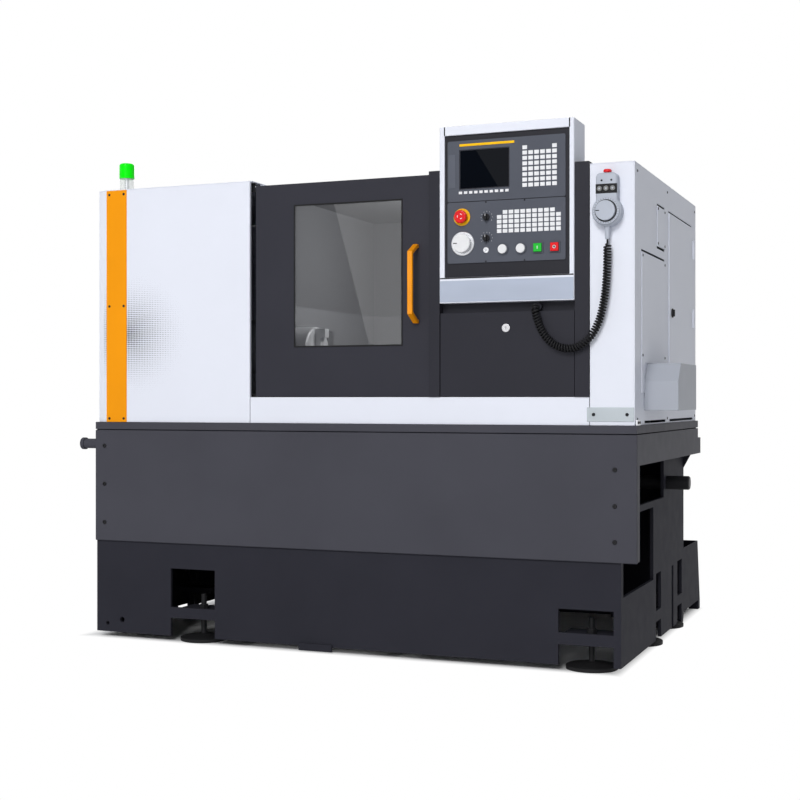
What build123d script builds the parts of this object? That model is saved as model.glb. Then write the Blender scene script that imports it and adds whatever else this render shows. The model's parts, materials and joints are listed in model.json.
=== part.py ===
from build123d import *
import math
import os

# Compact slant-bed turning lathe: welded base, sheet-metal enclosure with a sliding door,
# operator console, hand pendant, and the spindle, slides and turret inside.
# Working axes: X from the left end of the base, Y from its front face, Z from the floor.
# Each finished piece is then moved so that the origin is at the middle of the footprint.

os.makedirs("parts", exist_ok=True)

# Sheet, seams and cuts
sheet = 3
seam = 2
overrun = 5
running = 0.3

# Lengths along X, from the left end
cabinet_inset = 4
cover_width = 629
door_reveal = 15
door_width = 654
left_post_width = 38
console_width = 458
right_post_width = 46
right_panel_width = 146
end_inset = 8
cover_right = cabinet_inset + cover_width
door_left = cover_right + door_reveal
door_right = door_left + door_width
left_post_start = door_right + seam
console_left = left_post_start + left_post_width
console_right = console_left + console_width
right_post_end = console_right + right_post_width
cabinet_right = right_post_end + right_panel_width
base_length = cabinet_right + end_inset

# Heights above the floor
floor_gap = 20
base_height = 740
tray_height = 26
tray_plate = 6
sill_height = 90
cabinet_height = 830
base_top = floor_gap + base_height
tray_floor = base_top + tray_plate
tray_top = base_top + tray_height
sill_top = tray_top + sill_height
cabinet_top = tray_top + cabinet_height
roof_under = cabinet_top - sheet

# Depths from the front face of the base
base_depth = 1114
base_setback = 10
base_rear_gap = 21
cover_setback = 8
cabinet_depth = 1096
base_rear = base_depth - base_rear_gap
cabinet_rear = cover_setback + cabinet_depth
rear_inner = cabinet_rear - sheet
cover_inner = cover_setback + sheet
side_inner = cabinet_right - sheet

# What reaches past the base sets the place of the origin
drain_reach = 86
hood_width = 110
hood_end = cabinet_right + hood_width
pendant_depth = 38
dial_depth = 20
front_reach = pendant_depth + dial_depth - cover_setback
tank_depth = 420
tank_rear = base_rear + tank_depth
to_frame = Location(((drain_reach - hood_end) / 2, (front_reach - tank_rear) / 2, 0))


def block(x0, x1, y0, y1, z0, z1, mode=Mode.ADD):
    """A box between two corners, in the axes of the piece being built."""
    with Locations(((x0 + x1) / 2, (y0 + y1) / 2, (z0 + z1) / 2)):
        return Box(x1 - x0, y1 - y0, z1 - z0, mode=mode)


def rod_x(radius, x0, x1, y, z, mode=Mode.ADD):
    """A round bar along X."""
    with Locations(Location(((x0 + x1) / 2, y, z), (0, 90, 0))):
        return Cylinder(radius, x1 - x0, mode=mode)


def rod_y(radius, x, y0, y1, z, mode=Mode.ADD):
    """A round bar along Y."""
    with Locations(Location((x, (y0 + y1) / 2, z), (90, 0, 0))):
        return Cylinder(radius, y1 - y0, mode=mode)


def save(piece, name):
    """Moves a finished piece to the part's frame, labels it and writes its STEP file."""
    placed = piece.part.moved(to_frame)
    placed.label = name
    export_step(placed, f"parts/{name}.step")


# Base: a welded box, open underneath, with foot windows in front and at both ends
lower_inset = 52
base_wall = 12
base_deck = 20
lower_length = base_length - lower_inset
foot_edge = 91
front_foot_left = 402
right_foot_inset = 114
front_foot_right = lower_length - right_foot_inset
side_foot_inset = 70
side_foot_behind = (488, 83)
window_width = 180
side_window = 90
window_bottom = 123
window_top_left = 262
window_top_right = 199
slot_top = 85
side_window_top = 255
bracket_depth = 150
bracket_bottom = 92
bracket_top = 112
bolt_radius = 10
bolt_fit = 0.5
chute_inset = 60
chute_left = cover_right + chute_inset
chute_right = door_right - chute_inset
chute_front = 100
chute_depth = 171
chute_rear = chute_front + chute_depth
rib_width = 15
rib_shares = (0.33, 0.6)
lower_opening_drop = 267
lower_opening_height = 253
upper_opening_drop = 100
upper_opening_height = 145
rear_opening_front = 40
bar_margin = 61
opening_step = 186
notch_behind = 243
notch_width = 35
notch_top = 250
bar_radius = 25
bar_behind = 333
bar_drop = 195
bar_reach = 31
bar_inside = 260
drain_radius = 18
drain_wall = 3
drain_lip = 22
drain_lip_width = 14
drain_y = 46
drain_drop = 55
toe_share = 0.4235
toe_length = 125
toe_bottom = 5
toe_top = 30
toe_thickness = 8
spout_width = 176
spout_rise = 22
spout_reach = 62
spout_drop = 468
spout_plate = 6
gusset_reach = 48
gusset_depth = 157
gusset_flat = 68
vent_hole = 10
pilot_hole = 7
vent_place = (108, 66)
pilot_place = (46, 50)
side_foot_y = [base_rear - behind for behind in side_foot_behind]
spout_z = base_top - spout_drop
bar_y = base_rear - bar_behind
bar_z = base_top - bar_drop
drain_z = base_top - drain_drop
rear_opening_top = base_top - upper_opening_drop
rear_opening_high = rear_opening_top - upper_opening_height
rear_opening_mid = base_top - lower_opening_drop
rear_opening_bottom = rear_opening_mid - lower_opening_height
upper_opening_rear = bar_y - bar_margin
lower_opening_rear = upper_opening_rear - opening_step
notch_front = base_rear - notch_behind
notch_rear = notch_front + notch_width

front_feet = [(front_foot_left, foot_edge), (front_foot_right, foot_edge)]
side_feet = [(x, y) for x in (side_foot_inset, lower_length - side_foot_inset) for y in side_foot_y]
feet = front_feet + side_feet
inner_front = base_setback + base_wall

with BuildPart() as base_frame:
    block(0, lower_length, base_setback, base_rear, floor_gap, base_top)
    block(base_wall, lower_length - base_wall, inner_front, base_rear - base_wall,
          floor_gap - overrun, base_top - base_deck, mode=Mode.SUBTRACT)
    for rib_share in rib_shares:
        rib_x = lower_length * rib_share
        block(rib_x, rib_x + rib_width, inner_front, base_rear - base_wall, bracket_top, base_top - base_deck)
    for foot_x, foot_y in front_feet:
        block(foot_x - window_width / 2, foot_x + window_width / 2, inner_front, inner_front + bracket_depth,
              bracket_bottom, bracket_top)
        block(foot_x - window_width / 2, foot_x + window_width / 2, base_setback - overrun, inner_front,
              floor_gap - overrun, slot_top, mode=Mode.SUBTRACT)
        window_top = window_top_left if foot_x == front_foot_left else window_top_right
        block(foot_x - window_width / 2, foot_x + window_width / 2, base_setback - overrun, inner_front,
              window_bottom, window_top, mode=Mode.SUBTRACT)
    for foot_x, foot_y in side_feet:
        inward = foot_x < lower_length / 2
        outside = -overrun if inward else lower_length - base_wall
        inside = base_wall if inward else lower_length + overrun
        bracket_x = base_wall if inward else lower_length - base_wall - bracket_depth
        block(bracket_x, bracket_x + bracket_depth, foot_y - side_window / 2, foot_y + side_window / 2,
              bracket_bottom, bracket_top)
        for low, high in ((floor_gap - overrun, slot_top), (window_bottom, side_window_top)):
            block(outside, inside, foot_y - side_window / 2, foot_y + side_window / 2, low, high,
                  mode=Mode.SUBTRACT)
    for foot_x, foot_y in feet:
        with Locations((foot_x, foot_y, bracket_top)):
            Cylinder(bolt_radius + bolt_fit, 2 * bracket_depth, mode=Mode.SUBTRACT)
    block(chute_left, chute_right, chute_front, chute_rear, base_top - base_deck - overrun, base_top + overrun,
          mode=Mode.SUBTRACT)
    block(lower_length - base_wall, lower_length + overrun, rear_opening_front, lower_opening_rear,
          rear_opening_bottom, rear_opening_mid, mode=Mode.SUBTRACT)
    block(lower_length - base_wall, lower_length + overrun, rear_opening_front, upper_opening_rear,
          rear_opening_high, rear_opening_top, mode=Mode.SUBTRACT)
    block(lower_length - base_wall, lower_length + overrun, notch_front, notch_rear,
          floor_gap - overrun, notch_top, mode=Mode.SUBTRACT)
    rod_x(bar_radius + running, lower_length - base_wall - overrun, lower_length + overrun, bar_y, bar_z,
          mode=Mode.SUBTRACT)
    rod_x(drain_radius - drain_wall, -overrun, base_wall + overrun, drain_y, drain_z, mode=Mode.SUBTRACT)
    toe_left = lower_length * toe_share
    block(toe_left, toe_left + toe_length, base_setback - toe_thickness, base_setback, toe_bottom, toe_top)
    with BuildSketch(Plane.YZ.offset(lower_length - base_wall - spout_width)):
        with BuildLine():
            Polyline((base_rear, spout_z), (base_rear + spout_reach, spout_z + spout_rise),
                     (base_rear + spout_reach, spout_z + spout_rise + spout_plate),
                     (base_rear, spout_z + spout_plate), close=True)
        make_face()
    extrude(amount=spout_width)
    with BuildSketch(Plane.XZ.offset(base_wall - base_rear)):
        with BuildLine():
            Polyline((lower_length, base_top), (lower_length + gusset_reach, base_top),
                     (lower_length + gusset_reach, base_top - gusset_flat), (lower_length, base_top - gusset_depth),
                     close=True)
        make_face()
    extrude(amount=-base_wall)
    rod_y(vent_hole, vent_place[0], 0, inner_front + overrun, vent_place[1], mode=Mode.SUBTRACT)
    rod_y(pilot_hole, pilot_place[0], 0, inner_front + overrun, pilot_place[1], mode=Mode.SUBTRACT)
save(base_frame, "base_frame")

with BuildPart() as lifting_bar:
    rod_x(bar_radius, lower_length - bar_inside, base_length + bar_reach, bar_y, bar_z)
    chamfer(lifting_bar.edges().filter_by(GeomType.CIRCLE), running * base_wall)
save(lifting_bar, "lifting_bar")

with BuildPart() as drain_pipe:
    rod_x(drain_radius, -drain_reach, 0, drain_y, drain_z)
    rod_x(drain_lip, -drain_reach, drain_lip_width - drain_reach, drain_y, drain_z)
    rod_x(drain_radius - drain_wall, -drain_reach - overrun, overrun, drain_y, drain_z, mode=Mode.SUBTRACT)
save(drain_pipe, "drain_pipe")

# Levelling feet: turned pads, with a bolt and two nuts in each bracket
pad_radius = 84
pad_edge = 12
pad_height = 24
pad_crown = 20
pad_seat = 10
bolt_top = 165
nut_radius = 17
nut_height = 16

with BuildPart() as level_pads:
    with BuildSketch(Plane.XZ):
        with BuildLine():
            Polyline((0, 0), (pad_radius, 0), (pad_radius, pad_edge), (pad_crown, pad_height),
                     (bolt_radius + bolt_fit, pad_height), (bolt_radius + bolt_fit, pad_seat), (0, pad_seat),
                     close=True)
        make_face()
    one_pad = revolve(axis=Axis.Z, mode=Mode.PRIVATE)
    with Locations(*feet):
        add(one_pad)
save(level_pads, "level_pads")

with BuildPart() as level_fasteners:
    for foot_x, foot_y in feet:
        with Locations((foot_x, foot_y, (pad_seat + bolt_top) / 2)):
            Cylinder(bolt_radius, bolt_top - pad_seat)
    for nut_z in (bracket_bottom - nut_height, bracket_top):
        with BuildSketch(Plane.XY.offset(nut_z)):
            with Locations(*feet):
                RegularPolygon(nut_radius, 6)
        extrude(amount=nut_height)
save(level_fasteners, "level_fasteners")

# Blanking plates over the left-end foot windows, with four screws each
blank_thickness = 3
blank_margin = 14
blank_screw_radius = 5
blank_screw_head = 3
blank_screw_inset = 7
blank_half = side_window / 2 + blank_margin
blank_bottom = pad_height + pad_edge / 2
blank_top = side_window_top + blank_margin

with BuildPart() as window_blanks:
    for blank_y in side_foot_y:
        block(-blank_thickness, 0, blank_y - blank_half, blank_y + blank_half, blank_bottom, blank_top)
        for screw_y in (blank_y - blank_half + blank_screw_inset, blank_y + blank_half - blank_screw_inset):
            for screw_z in (slot_top + blank_margin, blank_top - blank_screw_inset):
                rod_x(blank_screw_radius, -blank_thickness - blank_screw_head, -blank_thickness, screw_y, screw_z)
save(window_blanks, "window_blanks")

# Drip tray on the base: a shallow pan with a wide front ledge and a chip chute
tray_rim = 48
front_ledge = 72

with BuildPart() as drip_tray:
    block(0, base_length, 0, base_depth, base_top, tray_top)
    block(tray_rim, base_length - tray_rim, front_ledge, base_depth - tray_rim, tray_floor, tray_top + overrun,
          mode=Mode.SUBTRACT)
    block(chute_left, chute_right, chute_front, chute_rear, base_top - overrun, tray_top, mode=Mode.SUBTRACT)
    chamfer(drip_tray.edges().filter_by(Axis.X).group_by(Axis.Z)[-1].sort_by(Axis.Y)[0], seam)
save(drip_tray, "drip_tray")

# Apron: a folded front cover with a side skirt along the right end
apron_height = 404
apron_top = base_top - sheet
apron_bottom = apron_top - apron_height
bend = 4
skirt_height = 98
apron_return = 34
skirt_tail = 57
tail_drop = 37
skirt_bottom = apron_top - skirt_height
tail_top = apron_top - tail_drop
tail_rear = base_depth + skirt_tail

with BuildPart() as front_apron:
    with BuildSketch(Plane.YZ):
        with BuildLine():
            FilletPolyline((base_setback, apron_bottom), (0, apron_bottom), (0, apron_top),
                           (base_setback, apron_top), radius=bend)
            offset(amount=sheet, side=Side.RIGHT)
        make_face()
    extrude(amount=base_length)
    block(base_length - sheet, base_length, 2 * sheet, base_setback + apron_return,
          apron_bottom + sheet, apron_top - sheet)
    block(base_length - sheet, base_length, base_setback, base_depth, skirt_bottom, apron_top)
    block(base_length - sheet, base_length, base_depth - sheet, tail_rear, skirt_bottom, tail_top)
    block(base_length - apron_return, base_length, tail_rear - sheet, tail_rear, skirt_bottom, tail_top)
save(front_apron, "front_apron")

# Coolant tank behind the base, decked at its left end to carry the pump
tank_length = 790
tank_inset = 8
tank_bottom = 38
tank_height = 248
tank_wall = 4
tank_slope = 56
tank_leg = 40
tank_deck_length = 240
tank_deck = 6
pump_flange = 130
pump_flange_thickness = 8
pump_radius = 54
pump_height = 170
pump_fan_radius = 58
pump_fan_height = 42
pump_stem = 34
pump_stem_length = 150
pump_box = 50
pump_box_reach = 30
tank_right = lower_length - tank_inset
tank_left = tank_right - tank_length
tank_top = tank_bottom + tank_height
tank_front = base_rear
tank_mouth = tank_rear - tank_slope
pump_x = tank_left + tank_deck_length / 2
pump_y = (tank_front + tank_mouth) / 2

with BuildPart() as coolant_tank:
    with BuildSketch(Plane.YZ.offset(tank_left)):
        with BuildLine():
            Polyline((tank_front, tank_bottom), (tank_rear, tank_bottom), (tank_mouth, tank_top),
                     (tank_front, tank_top), close=True)
        make_face()
    extrude(amount=tank_length)
    with BuildSketch(Plane.YZ.offset(tank_left + tank_wall)):
        with BuildLine():
            Polyline((tank_front + tank_wall, tank_bottom + tank_wall),
                     (tank_rear - tank_wall, tank_bottom + tank_wall), (tank_mouth - tank_wall, tank_top),
                     (tank_mouth - tank_wall, tank_top + overrun), (tank_front + tank_wall, tank_top + overrun),
                     close=True)
        make_face()
    extrude(amount=tank_length - 2 * tank_wall, mode=Mode.SUBTRACT)
    block(tank_left, tank_left + tank_deck_length, tank_front, tank_mouth, tank_top - tank_deck, tank_top)
    with Locations((pump_x, pump_y, tank_top)):
        Cylinder(pump_stem + seam, tank_height, mode=Mode.SUBTRACT)
    for leg_x in (tank_left, tank_right - tank_leg):
        for leg_y in (tank_front, tank_rear - tank_leg):
            block(leg_x, leg_x + tank_leg, leg_y, leg_y + tank_leg, 0, tank_bottom)
save(coolant_tank, "coolant_tank")

with BuildPart() as coolant_pump:
    with Locations((pump_x, pump_y, tank_top)):
        Box(pump_flange, pump_flange, pump_flange_thickness, align=(Align.CENTER, Align.CENTER, Align.MIN))
        Cylinder(pump_radius, pump_height, align=(Align.CENTER, Align.CENTER, Align.MIN))
        Cylinder(pump_stem, pump_stem_length, align=(Align.CENTER, Align.CENTER, Align.MAX))
    with Locations((pump_x, pump_y, tank_top + pump_height)):
        Cylinder(pump_fan_radius, pump_fan_height, align=(Align.CENTER, Align.CENTER, Align.MIN))
    block(pump_x - pump_box / 2, pump_x + pump_box / 2, pump_y, pump_y + pump_radius + pump_box_reach,
          tank_top + pump_box, tank_top + 2 * pump_box)
    fillet(coolant_pump.edges().filter_by(GeomType.CIRCLE).group_by(Axis.Z)[-1], overrun)
save(coolant_pump, "coolant_pump")

# Enclosure: front cover of the headstock, end wall, rear wall and roof
cover_chamfer = 39
chamfer_depth = 10
cover_return = 12
trim_width = 86
trim_thickness = 2
roof_front = 30
cover_step = 17
console_depth = 138
partition_offset = 6
partition_front = 75
spindle_y = 330
spindle_height = 244
partition_hole = 95
roof_notch = console_depth + 2 * seam
partition_x = cover_right + partition_offset
roof_left = partition_x + sheet + running
chamfer_x = cabinet_inset + cover_chamfer
chamfer_y = cover_setback + chamfer_depth
wall_height = roof_under - tray_top
step_under = roof_under + cover_step
wall_top = roof_under - running
step_wall_top = step_under - running
spindle_z = tray_top + spindle_height

with BuildPart() as headstock_cover:
    with BuildSketch(Plane.XY.offset(tray_top)):
        with BuildLine():
            Polyline((cabinet_inset, chamfer_y), (chamfer_x, cover_setback), (cover_right, cover_setback),
                     (cover_right, cover_setback + cover_return))
            offset(amount=sheet, side=Side.LEFT)
        make_face()
    extrude(amount=wall_height + cover_step)
save(headstock_cover, "headstock_cover")

with BuildPart() as trim_strip:
    block(chamfer_x, chamfer_x + trim_width, cover_setback - trim_thickness, cover_setback, tray_top, step_under)
save(trim_strip, "trim_strip")

with BuildPart() as cabinet_shell:
    block(cabinet_inset, cabinet_inset + sheet, chamfer_y + sheet, rear_inner - running, tray_top, step_wall_top)
    block(cabinet_inset, cabinet_right, rear_inner, cabinet_rear, tray_top, wall_top)
    block(cabinet_inset, partition_x + sheet, rear_inner, cabinet_rear, wall_top, step_wall_top)
    block(partition_x, partition_x + sheet, partition_front, rear_inner - running, tray_top, step_wall_top)
    rod_x(partition_hole, partition_x - overrun, partition_x + sheet + overrun, spindle_y, spindle_z,
          mode=Mode.SUBTRACT)
    with BuildSketch(Plane.XY.offset(roof_under)):
        with BuildLine():
            Polyline((roof_left, roof_front), (door_right, roof_front), (door_right, roof_notch),
                     (right_post_end + seam, roof_notch), (right_post_end + seam, cover_setback),
                     (cabinet_right, cover_setback), (cabinet_right, cabinet_rear), (roof_left, cabinet_rear),
                     close=True)
        make_face()
    extrude(amount=sheet)
    with BuildSketch(Plane.XY.offset(step_under)):
        with BuildLine():
            Polyline((cabinet_inset, chamfer_y), (chamfer_x, cover_setback), (partition_x + sheet, cover_setback),
                     (partition_x + sheet, cabinet_rear), (cabinet_inset, cabinet_rear), close=True)
        make_face()
    extrude(amount=sheet)
save(cabinet_shell, "cabinet_shell")

# Right end: front panel, side panel with its slots, access panels, electrical door and motor hood
panel_return = 40
panel_a_shares = (0.087, 0.4366, 0.1253, 0.6699)
panel_b_shares = (0.3155, 0.4348, 0.7217, 0.8843)
electrical_shares = (0.5005, 0.9158, 0.053, 0.8843)
low_slot_shares = ((0.135, 0.4533), (0.5208, 0.9408))
slot_height = 8
slot_rise = 5
opening_margin = 14
hood_ahead = 282
hood_behind = 50
hood_below = 46
hood_above = 106
hood_chamfer_y = 46
hood_chamfer_z = 59
bed_angle = 30
rail_drop = 200
screw_along = 10
screw_above = 20
motor_half = 40
motor_clear = 8
panel_plate = 3
door_plate = 4
hinge_radius = 5.7
hinge_knuckle = 70
hinge_shares = (0.12, 0.5, 0.88)
latch_inset = 46
latch_share = 0.497
latch_radius = 16
latch_depth = 4
latch_wing = 6
latch_wing_height = 12
latch_stem = 9


def on_side(shares):
    """Front, rear, bottom and top of a panel on the right end, from shares of the end's depth and height."""
    front, rear, low, high = shares
    return (cover_setback + cabinet_depth * front, cover_setback + cabinet_depth * rear,
            tray_top + cabinet_height * low, tray_top + cabinet_height * high)


panel_a = on_side(panel_a_shares)
panel_b = on_side(panel_b_shares)
electrical = on_side(electrical_shares)
low_slots = [(cover_setback + cabinet_depth * front, cover_setback + cabinet_depth * rear)
             for front, rear in low_slot_shares]
low_slot_z = tray_top + slot_rise
latch_y = electrical[0] + latch_inset
latch_z = electrical[2] + (electrical[3] - electrical[2]) * latch_share
slope = math.radians(bed_angle)
rail_y = spindle_y + rail_drop * math.sin(slope)
rail_z = spindle_z - rail_drop * math.cos(slope)
screw_y = rail_y + screw_along * math.cos(slope) - screw_above * math.sin(slope)
screw_z = rail_z + screw_along * math.sin(slope) + screw_above * math.cos(slope)
hood_front = screw_y - hood_ahead
hood_rear = screw_y + hood_behind
hood_bottom = screw_z - hood_below
hood_top = screw_z + hood_above
front_panel_left = right_post_end + seam
hinge_x = cabinet_right + 2 * panel_plate
hinge_y = electrical[1] + 2 * panel_plate

with BuildPart() as right_front_panel:
    with BuildSketch(Plane.XY.offset(tray_top)):
        with BuildLine():
            Polyline((front_panel_left, cover_setback + panel_return), (front_panel_left, cover_setback),
                     (side_inner, cover_setback))
            offset(amount=sheet, side=Side.LEFT)
        make_face()
    extrude(amount=wall_height)
save(right_front_panel, "right_front_panel")

with BuildPart() as right_side_panel:
    block(side_inner, cabinet_right, cover_setback, rear_inner, tray_top, roof_under)
    cuts = [(panel_a[0], panel_a[1], panel_a[3], panel_a[3] + slot_height),
            (panel_b[0], panel_b[1], panel_b[3], panel_b[3] + slot_height),
            (panel_b[0], panel_b[1], panel_b[2] - slot_height, panel_b[2]),
            (electrical[0], electrical[1], electrical[3], electrical[3] + slot_height),
            (electrical[0] + opening_margin, electrical[1] - opening_margin,
             electrical[2] + opening_margin, electrical[3] - opening_margin),
            (screw_y - motor_half - motor_clear, screw_y + motor_half + motor_clear,
             screw_z - motor_half - motor_clear / 2, screw_z + motor_half + motor_clear)]
    cuts += [(slot[0], slot[1], low_slot_z, low_slot_z + slot_height) for slot in low_slots]
    for cut in cuts:
        block(side_inner - overrun, cabinet_right + overrun, cut[0], cut[1], cut[2], cut[3], mode=Mode.SUBTRACT)
save(right_side_panel, "right_side_panel")

with BuildPart() as access_panels:
    for plate in (panel_a, panel_b):
        block(cabinet_right, cabinet_right + panel_plate, plate[0], plate[1], plate[2], plate[3])
    block(cabinet_right - overrun, cabinet_right + overrun, hood_front - seam, hood_rear + seam,
          hood_bottom, hood_top + seam, mode=Mode.SUBTRACT)
save(access_panels, "access_panels")

with BuildPart() as electrical_door:
    block(cabinet_right, cabinet_right + door_plate, electrical[0], electrical[1], electrical[2], electrical[3])
    for hinge_share in hinge_shares:
        knuckle_z = electrical[2] + (electrical[3] - electrical[2]) * hinge_share
        with Locations((hinge_x, hinge_y, knuckle_z)):
            Cylinder(hinge_radius, hinge_knuckle)
        block(cabinet_right + running, cabinet_right + door_plate, electrical[1] - overrun, hinge_y,
              knuckle_z - hinge_knuckle / 2, knuckle_z + hinge_knuckle / 2)
    rod_x(latch_stem + running, cabinet_right - overrun, cabinet_right + 2 * overrun, latch_y, latch_z,
          mode=Mode.SUBTRACT)
save(electrical_door, "electrical_door")

latch_face = cabinet_right + door_plate + running

with BuildPart() as electrical_latch:
    rod_x(latch_stem, cabinet_right + running, latch_face, latch_y, latch_z)
    rod_x(latch_radius, latch_face, latch_face + latch_depth, latch_y, latch_z)
    block(latch_face, latch_face + latch_depth + latch_wing, latch_y - latch_wing / 2, latch_y + latch_wing / 2,
          latch_z - latch_wing_height, latch_z + latch_wing_height)
save(electrical_latch, "electrical_latch")

with BuildPart() as side_hood:
    with BuildSketch(Plane.YZ.offset(cabinet_right)):
        with BuildLine():
            Polyline((hood_front, hood_bottom), (hood_rear, hood_bottom), (hood_rear, hood_top),
                     (hood_front + hood_chamfer_y, hood_top), (hood_front, hood_top - hood_chamfer_z), close=True)
        make_face()
    extrude(amount=hood_width)
    with BuildSketch(Plane.YZ.offset(cabinet_right - overrun)):
        with BuildLine():
            Polyline((hood_front, hood_bottom), (hood_rear, hood_bottom), (hood_rear, hood_top),
                     (hood_front + hood_chamfer_y, hood_top), (hood_front, hood_top - hood_chamfer_z), close=True)
        make_face()
        offset(amount=-sheet, mode=Mode.REPLACE)
    extrude(amount=hood_width + overrun - sheet, mode=Mode.SUBTRACT)
save(side_hood, "side_hood")

# Sill below the door, the bare corner plate, cover screws and the signal lamp
sill_flange = 35
corner_lap = 7
corner_plate_left = right_post_end - corner_lap
corner_plate_right = cabinet_right - seam
corner_plate_rise = 12
corner_plate_bottom = tray_top + corner_plate_rise
corner_plate_height = 45
corner_screw_inset = 22
screw_radius = 7
screw_head = 4
apron_screw_left = 39
apron_screw_inset = 70
apron_drops_left = (58, 197, 337)
apron_drops_right = (110, 225, 338)
apron_screw_right = base_length - apron_screw_inset
lamp_inset = 54
lamp_x = cabinet_inset + lamp_inset
lamp_y = 118
lamp_radius = 28
lamp_base_height = 57
lamp_lens_height = 56
lamp_foot_radius = 33
lamp_foot_height = 6
lamp_round = 8
lamp_seat = cabinet_top + cover_step

with BuildPart() as sill_panel:
    with BuildSketch(Plane.YZ.offset(cover_right + seam)):
        with BuildLine():
            Polyline((cover_setback, tray_top), (cover_setback, sill_top), (sill_flange, sill_top))
            offset(amount=sheet, side=Side.RIGHT)
        make_face()
    extrude(amount=right_post_end - cover_right - seam)
save(sill_panel, "sill_panel")

with BuildPart() as corner_plate:
    block(corner_plate_left, corner_plate_right, cover_setback - sheet, cover_setback,
          corner_plate_bottom, corner_plate_bottom + corner_plate_height)
save(corner_plate, "corner_plate")

with BuildPart() as cover_screws:
    for screw_drop in apron_drops_left:
        rod_y(screw_radius, apron_screw_left, -screw_head, 0, apron_top - screw_drop)
    for screw_drop in apron_drops_right:
        rod_y(screw_radius, apron_screw_right, -screw_head, 0, apron_top - screw_drop)
    for screw_x in (corner_plate_left + corner_screw_inset, corner_plate_right - corner_screw_inset):
        rod_y(screw_radius, screw_x, cover_setback - sheet - screw_head, cover_setback - sheet,
              corner_plate_bottom + corner_plate_height / 2)
save(cover_screws, "cover_screws")

with BuildPart() as lamp_base:
    with Locations((lamp_x, lamp_y, lamp_seat)):
        Cylinder(lamp_foot_radius, lamp_foot_height, align=(Align.CENTER, Align.CENTER, Align.MIN))
        Cylinder(lamp_radius - seam, lamp_base_height, align=(Align.CENTER, Align.CENTER, Align.MIN))
save(lamp_base, "lamp_base")

with BuildPart() as lamp_lens:
    with Locations((lamp_x, lamp_y, lamp_seat + lamp_base_height)):
        Cylinder(lamp_radius, lamp_lens_height, align=(Align.CENTER, Align.CENTER, Align.MIN))
    fillet(lamp_lens.edges().group_by(Axis.Z)[-1], lamp_round)
save(lamp_lens, "lamp_lens")

# Sliding door: a framed pan with grooves above and below, running on two rails
door_front = 24
door_depth = 36
door_head_gap = 7
door_frame = 24
window_inset_left = 151
window_inset_right = 101
window_inset_low = 172
window_inset_top = 66
glass_lap = 8
glass_thickness = 6
glass_play = 0.5
ring_width = 22
ring_depth = 18
rail_front = 38
rail_width = 8
rail_play = 0.6
rail_engage = 8
handle_inset = 49
handle_width = 18
handle_above = 244
handle_length = 264
handle_standoff = 65
handle_rise = 28
handle_leg = 14
handle_thickness = 12
handle_bend = 3
door_bottom = sill_top + seam
door_top = roof_under - door_head_gap
handle_low = door_bottom + handle_above
handle_high = handle_low + handle_length
door_rear = door_front + door_depth
rail_rear = rail_front + rail_width
rail_left = cabinet_inset + lamp_inset
glass_front = door_front + sheet
window_left = door_left + window_inset_left
window_right = door_right - window_inset_right
window_low = door_bottom + window_inset_low
window_high = door_top - window_inset_top

with BuildPart() as door_panel:
    block(door_left, door_right, door_front, door_rear, door_bottom, door_top)
    block(door_left + door_frame, door_right - door_frame, glass_front, door_rear + overrun,
          door_bottom + door_frame, door_top - door_frame, mode=Mode.SUBTRACT)
    block(window_left - ring_width, window_right + ring_width, glass_front, glass_front + ring_depth,
          window_low - ring_width, window_high + ring_width)
    block(window_left - glass_lap, window_right + glass_lap, glass_front, door_rear,
          window_low - glass_lap, window_high + glass_lap, mode=Mode.SUBTRACT)
    block(window_left, window_right, door_front - overrun, door_rear, window_low, window_high, mode=Mode.SUBTRACT)
    block(door_left - overrun, door_right + overrun, rail_front - rail_play, rail_rear + rail_play,
          door_bottom - overrun, door_bottom + rail_engage + running, mode=Mode.SUBTRACT)
    block(door_left - overrun, door_right + overrun, rail_front - rail_play, rail_rear + rail_play,
          door_top - rail_engage - seam, door_top + overrun, mode=Mode.SUBTRACT)
    block(door_left, door_right, door_front, glass_front, door_top, cabinet_top)
    fillet(door_panel.edges().filter_by(Axis.Z).group_by(Axis.Y)[0].sort_by(Axis.X)[0], seam)
    fillet(door_panel.edges().filter_by(Axis.Z).group_by(Axis.Y)[0].sort_by(Axis.X)[-1], seam)
save(door_panel, "door_panel")

with BuildPart() as door_window:
    block(window_left - glass_lap + glass_play, window_right + glass_lap - glass_play,
          glass_front, glass_front + glass_thickness,
          window_low - glass_lap + glass_play, window_high + glass_lap - glass_play)
save(door_window, "door_window")

handle_x = door_right - handle_inset
handle_out = door_front - handle_standoff

with BuildPart() as door_handle:
    with BuildSketch(Plane.YZ.offset(handle_x - handle_width / 2)):
        with BuildLine():
            FilletPolyline((door_front, handle_low), (door_front - handle_leg, handle_low),
                           (handle_out, handle_low + handle_rise), (handle_out, handle_high - handle_rise),
                           (door_front - handle_leg, handle_high), (door_front, handle_high),
                           radius=handle_bend)
            offset(amount=handle_thickness, side=Side.RIGHT)
        make_face()
    extrude(amount=handle_width)
    fillet(door_handle.edges().filter_by(Axis.Z), handle_bend)
save(door_handle, "door_handle")

with BuildPart() as door_rails:
    block(rail_left, door_right, rail_front, rail_rear, tray_top, door_bottom + rail_engage)
    block(rail_left, door_right, rail_front, rail_rear, door_top - rail_engage, roof_under)
    block(rail_left, partition_x, rail_front, rail_rear, roof_under, step_under)
save(door_rails, "door_rails")

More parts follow.
